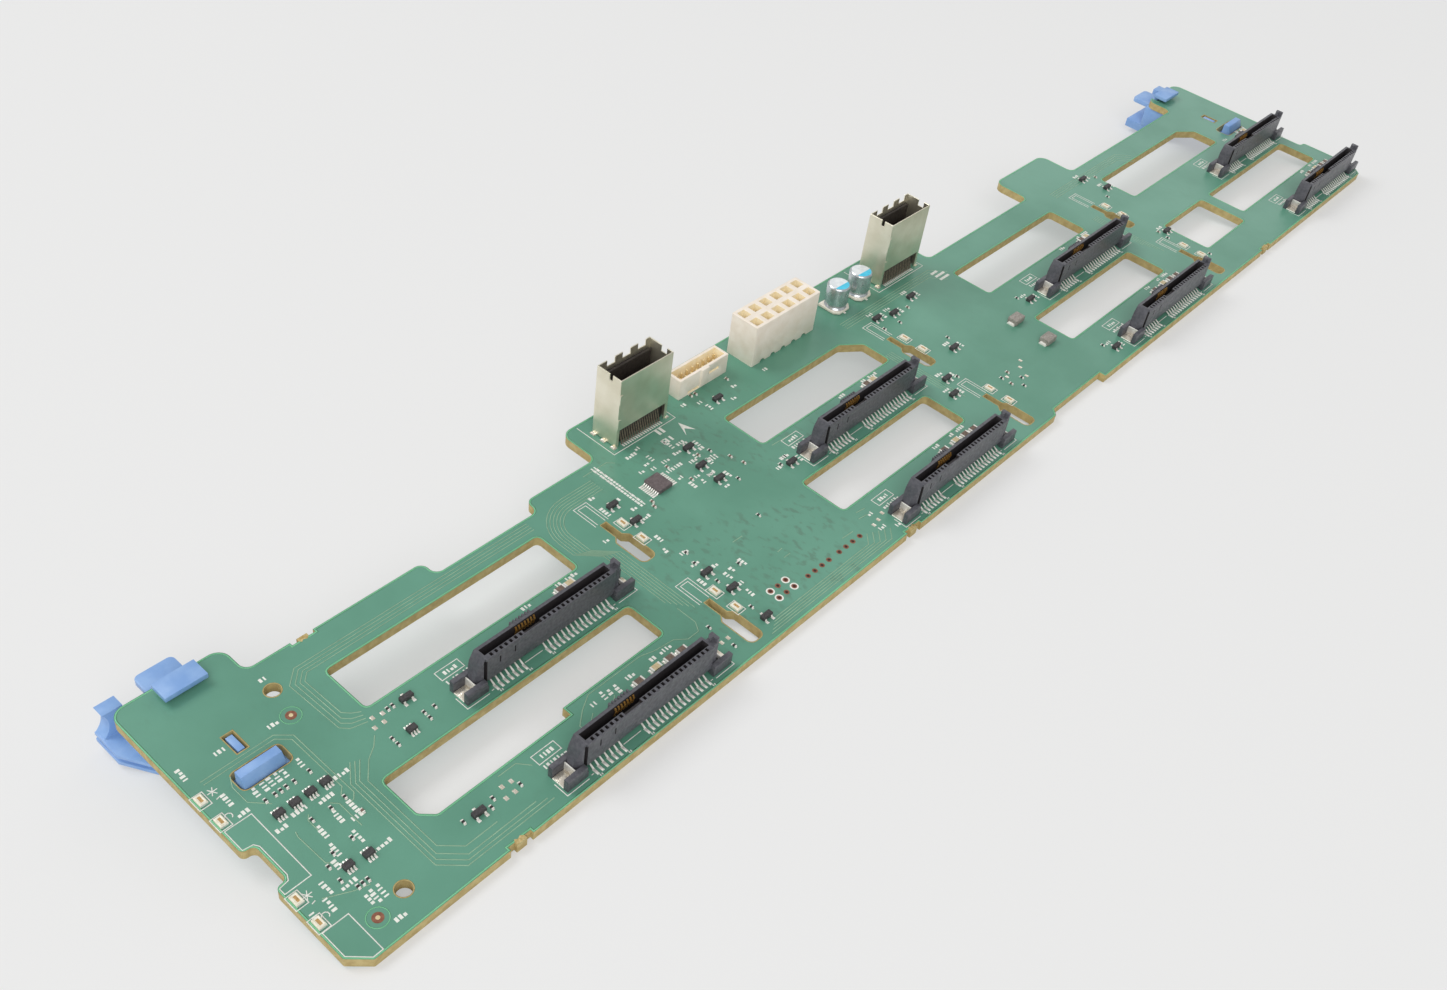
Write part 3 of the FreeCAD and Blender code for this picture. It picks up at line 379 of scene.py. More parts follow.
def block(low, high, finishes):
    """A block between two corners in millimetres, ready to be shaped."""
    deselect()
    low = Vector(low) * mm
    high = Vector(high) * mm
    bpy.ops.mesh.primitive_cube_add(size=1, location=(low + high) / 2)
    piece = bpy.context.object
    piece.scale = high - low
    bpy.ops.object.transform_apply()
    return painted(piece, finishes)


def broken_edges(piece, width, segments=1, angle=35):
    """Breaks every sharp edge of a piece by a small bevel, and shades it by angle."""
    pick(piece)
    bevel = piece.modifiers.new("edge_break", "BEVEL")
    bevel.width = width * mm
    bevel.segments = segments
    bevel.limit_method = "ANGLE"
    bevel.angle_limit = math.radians(angle)
    bpy.ops.object.modifier_apply(modifier=bevel.name)
    bpy.ops.object.shade_smooth_by_angle(angle=math.radians(angle))
    return piece


def solid_copy(node, finishes):
    """A merged copy of a solid's mesh, with its flat faces made whole again."""
    piece = linked(node + "_copy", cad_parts[node].data.copy())
    pick(piece)
    painted(piece, finishes)
    bpy.ops.mesh.customdata_custom_splitnormals_clear()
    edit()
    bpy.ops.mesh.select_all(action="SELECT")
    bpy.ops.mesh.remove_doubles(threshold=0.001 * mm)
    bpy.ops.mesh.dissolve_limited(angle_limit=math.radians(1))
    leave()
    return piece


def mount(piece, name, slot="board_laminate", *nodes):
    """Names a finished piece, lets it ride on the part, and hides the solids that it stands for."""
    piece.name = name
    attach(piece, body)
    if nodes:
        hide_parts(*nodes)
    return piece


def dressed(node, name, slot, material, width, segments=1):
    """A solid's copy in one finish with its edges broken, mounted in place of the solid."""
    return mount(broken_edges(solid_copy(node, [material]), width, segments), name, slot, node)


def shifted(piece, by, turn=0):
    """A copy of a piece with its own mesh, turned about Z and then moved by a vector."""
    mesh = piece.data.copy()
    mesh.transform(Matrix.Translation(by) @ Matrix.Rotation(turn, 4, "Z"))
    return linked(piece.name, mesh)


def merged(pieces):
    """Several pieces joined into the first."""
    pick(*pieces)
    if len(pieces) > 1:
        bpy.ops.object.join()
    return pieces[0]


def repeat(model, places):
    """One piece made of copies of a small model, each at its place and turn, and the model removed."""
    copies = [shifted(model, place, turn) for place, turn in places]
    bpy.data.objects.remove(model)
    return merged(copies)


def spot(column, row, x=0.0, y=0.0, z=0.0):
    """A place from the first lead of a socket in millimetres, on the board, in the frame."""
    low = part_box(f"drive_socket_contacts_{column * row_count + row + 1}")[0]
    return Vector((low.x + (lead_width / 2 + x) * mm, low.y + y * mm, board_top + z * mm))


def board_place(column, row, x=0.0, y=0.0):
    """The same place as X and Y from the board's front left corner, in millimetres."""
    place = spot(column, row, x, y)
    return (place.x - board_low.x) / mm, (place.y - board_low.y) / mm


def light_places():
    """Board places of the lights: two in each row at the left end and beside each keyhole."""
    places = []
    for row in range(row_count):
        for y in light_rows:
            places.append((light_edge, board_place(0, row, 0, y)[1]))
            places += [board_place(column, row, light_offset, y) for column in range(column_count - 1)]
    return places


def on_board(x, y, z=0.0):
    """A place from the board's front left corner in millimetres, on the board, in the frame."""
    return Vector((board_low.x + x * mm, board_low.y + y * mm, board_top + z * mm))


def level(places):
    """Board places as unturned places in the frame."""
    return [(on_board(x, y), 0) for x, y in places]


def each_socket():
    """Column and row of every socket, in the order of their numbers."""
    return [(column, row) for column in range(column_count) for row in range(row_count)]


def arc(x, y, radius, start, end, steps=8):
    """Points of an arc about a centre, between two angles in degrees."""
    turns = [math.radians(start + (end - start) * index / steps) for index in range(steps + 1)]
    return [(x + radius * math.cos(turn), y + radius * math.sin(turn)) for turn in turns]


def outline_curve(name, paths):
    """A flat curve through paths of board places; a path that ends where it starts is closed."""
    data = bpy.data.curves.new(name, "CURVE")
    data.dimensions = "2D"
    for path in paths:
        closed = path[0] == path[-1]
        points = path[:-1] if closed else path
        line = data.splines.new("POLY")
        line.points.add(len(points) - 1)
        for point, (x, y) in zip(line.points, points):
            point.co = (x * mm, y * mm, 0, 1)
        line.use_cyclic_u = closed
    return data


def on_face(data, stretch, material):
    """Turns a flat curve into a mesh that lies on the board's face, with its height stretched."""
    pick(linked(data.name, data))
    bpy.ops.object.convert(target="MESH")
    piece = bpy.context.object
    piece.scale = (1, 1, stretch)
    piece.location = on_board(0, 0)
    bpy.ops.object.transform_apply()
    return painted(piece, [material])


def ribbons(paths, width, height, material):
    """Flat ribbons of one width along several paths."""
    data = outline_curve("ribbons", paths)
    data.fill_mode = "NONE"
    data.bevel_depth = width / 2 * mm
    data.bevel_resolution = 0
    data.use_fill_caps = True
    return on_face(data, 2 * height / width, material)


def patches(paths, height, material):
    """Filled flat shapes inside closed paths."""
    data = outline_curve("patches", paths)
    data.fill_mode = "BOTH"
    data.extrude = height * mm
    return on_face(data, 1, material)


def disc(radius, height, material):
    """A thin round plate that stands on the board's face."""
    deselect()
    bpy.ops.mesh.primitive_cylinder_add(vertices=20, radius=radius * mm, depth=height * mm,
                                        location=(0, 0, height / 2 * mm))
    bpy.ops.object.transform_apply()
    return painted(bpy.context.object, [material])


def rectangle(x0, y0, x1, y1):
    return [(x0, y0), (x1, y0), (x1, y1), (x0, y1), (x0, y0)]


def face_outlines(piece):
    """The loops round a board's top face, outer edge and openings, as lists of board places."""
    mesh = piece.data
    top = board_top - 0.01 * mm
    following = {}
    for face in mesh.polygons:
        if abs(face.normal.z) > 0.5:
            continue
        corners = list(face.vertices)
        for first, second in zip(corners, corners[1:] + corners[:1]):
            if mesh.vertices[first].co.z > top and mesh.vertices[second].co.z > top:
                following[second] = first
    loops = []
    while following:
        loop = [next(iter(following))]
        while following.get(loop[-1]) is not None:
            loop.append(following.pop(loop[-1]))
        loops.append([((mesh.vertices[at].co.x - board_low.x) / mm,
                       (mesh.vertices[at].co.y - board_low.y) / mm) for at in loop[:-1]])
    return loops


def drawn_in(loop, distance):
    """A closed path that runs inside the board's face, at one distance from a loop round it."""
    path = []
    for at, (x, y) in enumerate(loop):
        before = Vector((x, y)) - Vector(loop[at - 1])
        after = Vector(loop[(at + 1) % len(loop)]) - Vector((x, y))
        normals = [Vector((-side.y, side.x)).normalized() for side in (before, after)]
        mitre = (normals[0] + normals[1]) / max(1 + normals[0].dot(normals[1]), 0.5)
        path.append((x + mitre.x * distance, y + mitre.y * distance))
    return path + path[:1]


def board():
    """The bare board: tan routed edges, and inside them a line without copper under the mask.

    The line is bright green, but round the small openings it is bare laminate.
    """
    piece = solid_copy("circuit_board", [mask, edge])

    def from_end(each):
        x = each.verts[0].co.x
        return min(x - board_low.x, board_high.x - x)
    edit()
    # The facets of rounded corners are eased, so that a corner shades as one curve
    choose("edges", lambda each: rises(each, mm) and 0.3 < each.calc_face_angle(0) < 0.9)
    bpy.ops.mesh.bevel(offset=corner_easing * mm, segments=2)
    # The mouths of the end notches are well rounded
    choose("edges", lambda each: rises(each, mm) and each.calc_face_angle(0) > 0.9
           and from_end(each) < 0.1 * mm)
    bpy.ops.mesh.bevel(offset=notch_rounding * mm, segments=5)
    paint(1, lambda face: abs(face.normal.z) < 0.5)
    leave()
    bpy.ops.object.shade_smooth_by_angle(angle=math.radians(25))
    outlines = face_outlines(piece)
    small = [loop for loop in outlines if max(loop)[0] - min(loop)[0] < small_opening]
    large = [loop for loop in outlines if loop not in small]
    rims = [ribbons([drawn_in(loop, width / 2) for loop in loops], width, rim_height, material)
            for loops, width, material in ((large, rim_width, rim_mask), (small, bare_rim_width, edge))]
    rims += [shifted(rim, Vector((0, 0, -board_thickness))) for rim in rims]
    mount(piece, "board_blank", "board_laminate", "circuit_board")
    mount(merged(rims), "copper_free_rim")


def torn_stubs():
    """Bare torn laminate on the four stubs where the board was snapped out of its panel."""
    ragged = ((-1.2, 0.0), (1.2, 0.0), (1.15, 0.8), (0.5, 1.25), (-0.2, 0.95), (-0.8, 1.3), (-1.2, 0.7))
    paths = []
    for x, y, turn in ((36.4, 0.02, 1), (157.3, 0.02, 1), (343.6, 0.02, 1), (37.2, 64.98, -1)):
        path = [(x + dx, y + dy * turn) for dx, dy in ragged]
        paths.append(path + path[:1])
    mount(patches(paths, ink_height, torn_laminate), "torn_stubs")


def tracks():
    """The tracks that can be followed under the mask: slightly proud lines along board places."""
    paths = [
        # Round the back left corner of the rear left window
        [(92.0, 59.2), (31.2, 59.2), (28.0, 56.2), (28.6, 42.0), (30.0, 40.4), (33.4, 39.5)],
        [(92.0, 58.4), (31.6, 58.4), (29.0, 55.8), (29.5, 42.6), (31.0, 41.2), (33.6, 40.4)],
        [(92.0, 57.6), (32.0, 57.6), (29.9, 55.5), (30.3, 43.5), (31.6, 42.1), (33.8, 41.3)],
        [(92.0, 56.8), (32.4, 56.8), (30.8, 55.2), (31.1, 44.6), (32.4, 43.2), (34.0, 42.2)],
        # Down past the fixing slots and round the front left window
        [(32.3, 36.1), (30.6, 34.2), (28.1, 32.5), (25.0, 28.8), (25.0, 9.8), (28.6, 6.2), (36.0, 6.2)],
        [(26.9, 33.6), (23.9, 29.8), (23.9, 8.6), (27.9, 4.6), (44.0, 4.6)],
        [(26.0, 33.9), (23.1, 29.9), (23.1, 7.7), (27.1, 3.7), (46.0, 3.7)],
        [(25.2, 34.3), (22.3, 30.3), (22.3, 6.9), (26.3, 2.9), (47.0, 2.9)],
        # From the upper left light to the transistors
        [(3.4, 48.7), (18.9, 48.7), (21.6, 46.2), (21.7, 28.6), (20.7, 27.4), (19.5, 27.1)],
        [(3.5, 47.8), (18.5, 47.8), (20.8, 45.6), (20.9, 31.0), (19.6, 29.6)],
        [(9.2, 28.8), (8.9, 27.6), (9.1, 20.2), (11.0, 18.2)],
        [(7.9, 46.2), (6.9, 44.0), (6.9, 39.6), (9.8, 36.4)],
        [(17.2, 29.6), (18.3, 28.4), (18.3, 22.0)],
        [(13.0, 30.2), (12.2, 29.2), (12.2, 24.0)],
        [(4.4, 15.0), (9.0, 12.6), (12.0, 11.6)],
        [(42.6, 13.4), (47.0, 13.4), (49.0, 11.0)],
        [(61.9, 9.0), (61.9, 11.5), (64.9, 13.9), (68.4, 15.9), (83.0, 15.9), (86.4, 14.9), (91.4, 14.3),
         (93.8, 12.4), (97.0, 12.4), (98.4, 14.6), (98.4, 19.8)],
        [(64.4, 9.0), (64.4, 10.9), (65.9, 12.0)],
        [(70.8, 9.0), (70.8, 11.2), (72.2, 12.3)],
        # Short visible pieces in the middle panel
        [(154.1, 40.5), (161.7, 40.1)], [(151.0, 12.3), (153.8, 11.9)], [(149.8, 10.6), (152.6, 10.2)],
        [(141.8, 9.2), (145.5, 9.0)], [(127.4, 16.3), (129.1, 16.4)], [(127.1, 14.2), (129.3, 14.2)],
        [(122.1, 25.0), (125.3, 24.9)], [(112.0, 62.0), (119.5, 62.0), (121.0, 60.6)],
    ]
    for index in range(6):
        # Nested bends that carry the cable port's tracks down between the windows
        radius = 6.2 + 0.75 * index
        x = 103.0 - radius
        low = 44.0 + 0.3 * index
        paths.append([(112.5, 50 + radius)] + arc(103.0, 50.0, radius, 90, 180)
                     + [(x, low), (x + 4.6, low - 4.6), (x + 4.6, 17.5 + index)])
    for index in range(5):
        # Along the front edge, from the middle panel to the second column
        y = 1.5 + 0.62 * index
        paths.append([(108.0 + index, y), (150.5 - 1.4 * index, y), (153.0 - 1.4 * index, y + 2.4)])
    for column in (1, 2):
        x = column_pitch * column
        for index in range(4):
            y = 60.4 - 0.8 * index
            paths.append([(x + 99.0, y), (x + 140.0 - index, y), (x + 144.0 - index, y - 4.0)])
            paths.append([(x + 100.2 - 0.8 * index, 44.0), (x + 100.2 - 0.8 * index, 20.0 + 2 * index)])
    mount(ribbons(paths, track_width, track_height, track_mask), "masked_tracks")


def socket_marks(column, row):
    """The printed lines of every socket: label box, fork corners, group line and end strokes."""
    x, y = board_place(column, row)
    return [
        rectangle(x - 6.6, y + 8.5, x - 0.9, y + 10.9),
        [(x - 7.6, y + 3.4), (x - 7.6, y - 0.1), (x - 2.0, y - 0.1)],
        [(x + 33.7, y - 0.1), (x + 39.3, y - 0.1), (x + 39.3, y + 3.4)],
        [(x + 8.3, y + 1.1), (x + 13.1, y + 1.1)],
        [(x - 1.2, y + 0.2), (x - 0.6, y + 0.2)],
        [(x + 32.4, y + 0.2), (x + 33.0, y + 0.2)],
    ]


def keyhole_marks(column, row):
    """The two nested brackets behind a keyhole. The keyholes' rows lie wider apart than the sockets'."""
    x = 104.7 + column_pitch * column
    y = 17.2 + 31.2 * row
    return [
        [(x - 2.0, y), (x - 2.0, y + 7.1), (x + 1.9, y + 7.1), (x + 1.9, y)],
        [(x - 1.2, y + 0.2), (x - 1.2, y + 6.4), (x + 1.1, y + 6.4), (x + 1.1, y + 0.2)],
    ]


def printed_lines():
    """All the printed outlines, and the filled shapes: an arrow, label bars and strokes at the leads."""
    paths = [
        [(0.5, 37.1), (6.0, 37.1), (5.9, 19.9), (0.5, 19.9), (0.5, 21.4), (2.5, 21.7), (3.1, 22.8),
         (3.1, 30.6), (2.5, 31.6), (0.5, 31.9), (0.5, 37.1)],
        [(0.5, 9.7), (5.8, 9.7), (5.8, 0.5), (3.7, 0.5), (0.5, 3.8), (0.5, 9.7)],
    ]
    for x, y in light_places():
        paths.append(rectangle(x - 1.25, y - 1.65, x + 1.25, y + 1.65))
    for column, row in each_socket():
        paths += socket_marks(column, row)
        if column < column_count - 1:
            paths += keyhole_marks(column, row)
    for x in (122.9, 226.8):
        # The frame round a cable port
        paths.append([(x, 75.2), (x, 62.7), (x + 20.9, 62.7), (x + 20.9, 75.2)])
    for x, y in ((3.8, 45.6), (3.0, 17.2)):
        # A small sun beside the upper light of each pair
        for turn in (0, 60, 120):
            paths.append(arc(x, y, 1.0, turn, turn + 180, 1))
        paths.append([(x - 0.4, y - 1.9), (x + 0.4, y - 1.7)])
    for x, y in ((2.9, 39.3), (2.9, 12.0)):
        paths.append(arc(x, y, 0.7, -60, 150, 5) + [(x - 1.2, y - 0.4)])
    mount(ribbons(paths, ink_width, ink_height, ink), "printed_lines")
    shapes = [[(142.9, 60.9), (144.4, 56.5), (142.5, 58.5), (141.0, 56.4), (142.9, 60.9)]]
    shapes += [rectangle(*corners) for corners in (
        (246.0, 54.9, 250.2, 55.7), (246.0, 56.5, 250.2, 57.3), (246.0, 58.1, 248.8, 58.9),
        (136.2, 60.6, 137.0, 62.6), (137.5, 60.6, 138.3, 62.6), (134.6, 57.4, 135.2, 59.0),
        (135.9, 57.4, 136.5, 59.0), (137.2, 57.4, 137.8, 59.0))]
    for column, row in each_socket():
        x, y = board_place(column, row)
        for start in (0.0, 7.7, 14.0, 31.8):
            shapes += [rectangle(x + start + step, y - 1.2, x + start + step + 0.26, y - 0.72)
                       for step in (0.0, 0.46)]
    mount(patches(shapes, ink_height, ink), "printed_shapes")


def bar_row(x, y, along, count):
    """Places of the plain bars that stand for one printed designator, in a row along X or Y."""
    steps = [(index - (count - 1) / 2) * bar_pitch for index in range(count)]
    if along == "x":
        return [(on_board(x + step, y), 0) for step in steps]
    return [(on_board(x, y - step), math.pi / 2) for step in steps]


def designators():
    """Small plain bars beside the parts, where the real board carries printed designators."""
    rows = [(x, y, "x", count) for x, y, count in (
        (9.7, 52.1, 3), (5.1, 38.2, 3), (22.0, 33.3, 5), (17.3, 30.9, 4), (18.8, 24.1, 3),
        (12.3, 31.9, 4), (7.9, 31.0, 3), (18.2, 16.4, 5), (9.4, 14.2, 4), (11.6, 3.2, 3),
        (25.2, 60.9, 2), (20.2, 50.7, 3), (108.4, 55.6, 2), (101.3, 43.9, 2), (112.4, 51.4, 2),
        (113.3, 47.0, 2), (113.4, 43.3, 3), (111.6, 30.1, 3), (110.8, 26.2, 3), (113.8, 22.9, 2),
        (114.1, 15.6, 2), (135.1, 38.3, 2), (140.0, 46.6, 3), (128.9, 47.2, 2), (128.9, 50.4, 3),
        (125.6, 59.9, 4), (128.5, 60.8, 2), (153.2, 9.9, 2), (151.8, 5.3, 3), (155.3, 3.4, 2),
        (153.4, 35.9, 3), (149.1, 34.2, 2), (148.7, 64.6, 2), (152.6, 62.7, 2), (164.1, 61.6, 2),
        (134.7, 53.7, 3), (130.4, 53.4, 3), (139.6, 47.4, 4), (131.6, 50.4, 3), (126.4, 53.4, 2),
        (138.6, 54.9, 2), (140.3, 51.0, 2), (126.2, 55.6, 2), (123.4, 54.4, 2), (135.6, 43.6, 3),
        (132.2, 45.0, 2), (160.4, 58.4, 2), (175.4, 60.9, 2), (67.5, 13.5, 2))]
    rows += [(x, y, "y", count) for x, y, count in (
        (1.9, 52.2, 4), (4.6, 42.4, 4), (9.1, 40.3, 3), (11.0, 40.3, 3), (12.4, 40.4, 3), (13.8, 40.4, 3),
        (15.2, 40.3, 3), (18.6, 40.3, 3), (16.4, 26.4, 4), (19.7, 26.3, 4), (12.5, 25.6, 4),
        (11.8, 21.2, 4), (10.2, 18.6, 3), (16.3, 20.7, 4), (6.1, 16.2, 4), (9.8, 9.4, 3), (11.0, 9.3, 4),
        (12.5, 9.3, 4), (1.4, 13.4, 2), (4.6, 13.2, 4), (107.6, 50.4, 4), (110.6, 36.7, 3),
        (108.9, 33.2, 2), (119.1, 19.6, 3), (115.6, 19.6, 2), (113.6, 18.9, 3), (107.9, 21.4, 3),
        (113.4, 12.4, 3), (132.0, 42.8, 2), (153.2, 60.0, 3), (135.3, 57.2, 5), (128.4, 56.4, 3),
        (129.3, 43.6, 3), (136.9, 50.0, 2), (70.4, 13.7, 3), (71.9, 13.5, 2), (73.7, 13.1, 3))]
    # The block of printed lines beside the first cable port
    rows += [(115.8, 46.8 + bar_pitch * index, "x", 2) for index in range(19)]
    for column, row in each_socket():
        x, y = board_place(column, row)
        rows += [(x + 21.2 if row == 0 else x + 18.6, y + 12.0, "x", 3), (x + 31.6, y + 12.1, "x", 4),
                 (x - 3.7, y + 9.7, "x", 4), (x + 27.9, y + 12.1, "x", 2), (x - 3.6, y + 7.4, "x", 7)]
    for column, row, x, y in three_leg_parts:
        place = board_place(column, row, x, y)
        if column:
            rows += [(place[0] + 2.9, place[1], "y", 3), (place[0], place[1] + 2.6, "x", 3)]
    # Three bars of unlike proportions, so that a row reads as printing: half width, and top
    models = ((0.3, bar_half), (0.17, bar_half), (0.3, 0.15))
    places = [[] for model in models]
    for each in rows:
        for place in bar_row(*each):
            random.choice(places).append(place)
    pieces = [repeat(block((-half, -bar_half, 0), (half, top, ink_height), [ink]), spots)
              for (half, top), spots in zip(models, places)]
    mount(merged(pieces), "printed_bars")


def probe_holes():
    """The row of bare copper probe holes, each with a near-black disc of painted shade at its middle, four
    of them ringed in ink, and the two fiducials.
    """
    ringed = [(117.0, 9.6), (122.1, 9.6), (117.0, 7.1), (122.1, 7.1)]
    plain = [(119.5, 9.6), (119.5, 7.1)] + [(x, 7.0) for x in (
        126.8, 129.2, 131.7, 134.2, 137.9, 140.4, 142.9, 145.5)]
    every = level(ringed + plain)
    marks = level(fiducials)
    mount(repeat(disc(1.0, ink_height, ink), level(ringed)), "probe_rings")
    # Each hole: a copper disc under a smaller near-black disc that paints the shade down the hole
    pieces = [repeat(disc(0.66, 0.035, copper), every), repeat(disc(0.36, 0.045, hole_shade), every),
              repeat(disc(1.1, 0.02, copper), marks), repeat(disc(0.42, 0.04, pin_gold), marks)]
    mount(merged(pieces), "bare_copper_marks")
    circles = [arc(x, y, 2.05, 0, 360, 24) for x, y in fiducials]
    mount(ribbons(circles, 0.3, rim_height, rim_mask), "fiducial_rings")


def bare_pads():
    """Soldered pads that carry no part."""
    flat = [(34.5, 39.6), (33.4, 37.4), (35.6, 37.4), (36.6, 39.2), (41.6, 11.2), (40.5, 8.8), (42.7, 8.8),
            (43.7, 11.0), (98.2, 7.0), (100.2, 7.0), (153.1, 7.4), (150.9, 7.0), (155.6, 8.2),
            (227.6, 14.2), (229.4, 17.4), (232.0, 19.0), (223.0, 17.4), (222.0, 33.8)]
    mount(repeat(pad(1.0, 0.8, 0.1, flood), level(flat)), "bare_pads", "tinned_lead")


def latches():
    """The two blue latches."""
    for side in ("left", "right"):
        dressed(f"latch_{side}", f"latch_moulding_{side}", "latch_plastic", blue_plastic, 0.22, 2)


def socket_housings():
    """The eight black mouldings: edges as they leave their tool, painted shade in the mouths and under the
    front overhang, lead pockets widened.
    """
    first = solid_copy("drive_socket_1", [black_plastic, painted_shade_plastic])
    start = spot(0, 0)

    def in_painted_shade(face):
        x, y, z = (face.calc_center_median() - start) / mm
        return (mouth_left < x < mouth_right and mouth_front < y < mouth_back
                and mouth_floor < z < mouth_rim)

    def pocket_wall(side, depth):
        def test(face):
            x, y, z = (face.calc_center_median() - start) / mm
            return face.normal.y * side > 0.9 and abs(y - depth) < 0.02 and z > pocket_floor
        return test
    edit()
    # Painted shade: the faces down in the mouth and under the front overhang get the darker polymer
    paint(1, in_painted_shade)
    choose("faces", pocket_wall(1, pocket_front))
    bpy.ops.transform.translate(value=(0, -pocket_front_shift * mm, 0))
    choose("faces", pocket_wall(-1, pocket_back))
    bpy.ops.transform.translate(value=(0, pocket_back_shift * mm, 0))
    leave()
    broken_edges(first, 0.06, 2)
    for number, (column, row) in enumerate(each_socket(), 1):
        piece = first if number == 1 else shifted(first, spot(column, row) - start)
        mount(piece, f"socket_moulding_{number}", "socket_plastic", f"drive_socket_{number}")


def lead(width, thickness, foot, run, rise, tail, narrow=1.0):
    """A gull-wing lead along Y: a foot on its pad, a slope that may narrow, and a level end."""
    piece = block((-width / 2, 0, 0), (width / 2, foot, thickness), [tin])
    edit()
    choose("faces", lambda face: face.normal.y > 0.9)
    bpy.ops.mesh.extrude_region_move(TRANSFORM_OT_translate={"value": (0, run * mm, rise * mm)})
    bpy.ops.transform.resize(value=(narrow, 1, 1))
    bpy.ops.mesh.extrude_region_move(TRANSFORM_OT_translate={"value": (0, tail * mm, 0)})
    leave()
    return piece


def pad(length, width, height, material):
    """A soldered pad along Y: a thin plate whose top rises in two soft steps."""
    piece = block((-width / 2, -length / 2, 0), (width / 2, length / 2, height * 0.3), [material])
    edit()
    choose("faces", lambda face: face.normal.z > 0.9)
    for share in (0.4, 0.3):
        bpy.ops.mesh.inset(thickness=min(length, width) * 0.17 * mm)
        bpy.ops.transform.translate(value=(0, 0, height * share * mm))
    leave()
    bpy.ops.object.shade_smooth_by_angle(angle=math.radians(50))
    return piece


def spring():
    """A gold contact spring that bows out of the back wall of the mouth."""
    length = 2.2
    bow = 0.3
    crest = spring_top - 0.7
    piece = block((-0.18, spring_wall - 0.22, spring_top - length), (0.18, spring_wall, spring_top), [gold])
    edit()
    bpy.ops.mesh.select_all(action="SELECT")
    bpy.ops.mesh.bisect(plane_co=(0, 0, crest * mm), plane_no=(0, 0, 1))
    choose("verts", lambda vert: abs(vert.co.z - crest * mm) < 0.01 * mm)
    bpy.ops.transform.translate(value=(0, -bow * mm, 0))
    leave()
    return piece


def socket_contacts():
    """Front leads with their teardrops of solder, and the gold springs behind the key gap."""
    offsets = [index * lead_pitch for index in range(signal_leads)]
    offsets += [power_group + index * lead_pitch for index in range(power_leads)]
    for number, (column, row) in enumerate(each_socket(), 1):
        leads = repeat(lead(lead_width, 0.2, 0.7, 1.4, 0.8, 0.4, 0.6),
                       [(spot(column, row, x), 0) for x in offsets])
        pads = repeat(pad(1.6, 0.62, 0.26, tin), [(spot(column, row, x, 0.2), 0) for x in offsets])
        springs = repeat(spring(), [(spot(column, row, comb_start + index * comb_pitch), 0)
                                    for index in range(comb_ribs)])
        mount(merged([leads, pads, springs]), f"socket_leads_{number}", "socket_contact_metal",
              f"drive_socket_contacts_{number}")


def solder_tabs():
    """The folded tabs in the forks, each flooded with solder."""
    for number in range(1, column_count * row_count + 1):
        node = f"drive_socket_tabs_{number}"
        tabs = broken_edges(solid_copy(node, [tin]), 0.08)
        low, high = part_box(node)
        middle = (low.y + high.y) / 2
        pools = repeat(pad(2.9, 3.0, 0.75, flood), [
            (Vector((x, middle, board_top + 0.28 * mm)), 0)
            for x in (low.x + 1.62 * mm, high.x - 1.2 * mm)])
        mount(merged([tabs, pools]), f"socket_solder_tabs_{number}", "tinned_tab", node)


def ports():
    """Two cable ports: plated shell, dark insulator, its row of tails, and solder at the shell's legs."""
    for letter in "ab":
        node = f"cable_port_shell_{letter}"
        low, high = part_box(node)
        shell = solid_copy(node, [nickel])
        panels = [block((x, high.y / mm - port_leg_reach, board_top / mm + 0.2),
                        (x + 0.16, high.y / mm - port_leg, board_top / mm + port_wall_lift), [nickel])
                  for x in (low.x / mm + 0.05, high.x / mm - 0.21)]
        shell = broken_edges(merged([shell] + panels), 0.06)
        mount(shell, f"port_shell_{letter}", "port_shell_metal", node)
        dressed(f"cable_port_insulator_{letter}", f"port_insulator_{letter}", "port_plastic",
                port_plastic, 0.1)
        node = f"cable_port_contacts_{letter}"
        # Painted shade: the tails get the darker brown-grey tin
        tails = broken_edges(solid_copy(node, [shaded_tin]), 0.03)
        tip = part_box(node)[0]
        first = tip.x + 0.2 * mm
        toes = repeat(pad(1.3, 0.46, 0.1, tin), [
            (Vector((first + index * tail_pitch * mm, tip.y - 0.2 * mm, board_top)), 0)
            for index in range(tail_count)])
        mount(merged([tails, toes]), f"port_tails_{letter}", "tinned_lead", node)
        joints = [(Vector((x, low.y + share * (high.y - low.y), board_top)), 0)
                  for share in (0.08, 0.5, 0.92) for x in (low.x - 0.25 * mm, high.x + 0.25 * mm)]
        mount(repeat(pad(1.5, 1.1, 0.5, flood), joints), f"port_joints_{letter}", "tinned_lead")


def inside(node):
    """A test for faces of a header that line its cavities, well inside its outer walls; these faces get
    painted light.
    """
    low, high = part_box(node)

    def test(face):
        x, y, z = face.calc_center_median()
        from_side = min(x - low.x, high.x - x, y - low.y, high.y - y)
        return from_side > header_wall * mm and z < high.z - 0.1 * mm
    return test


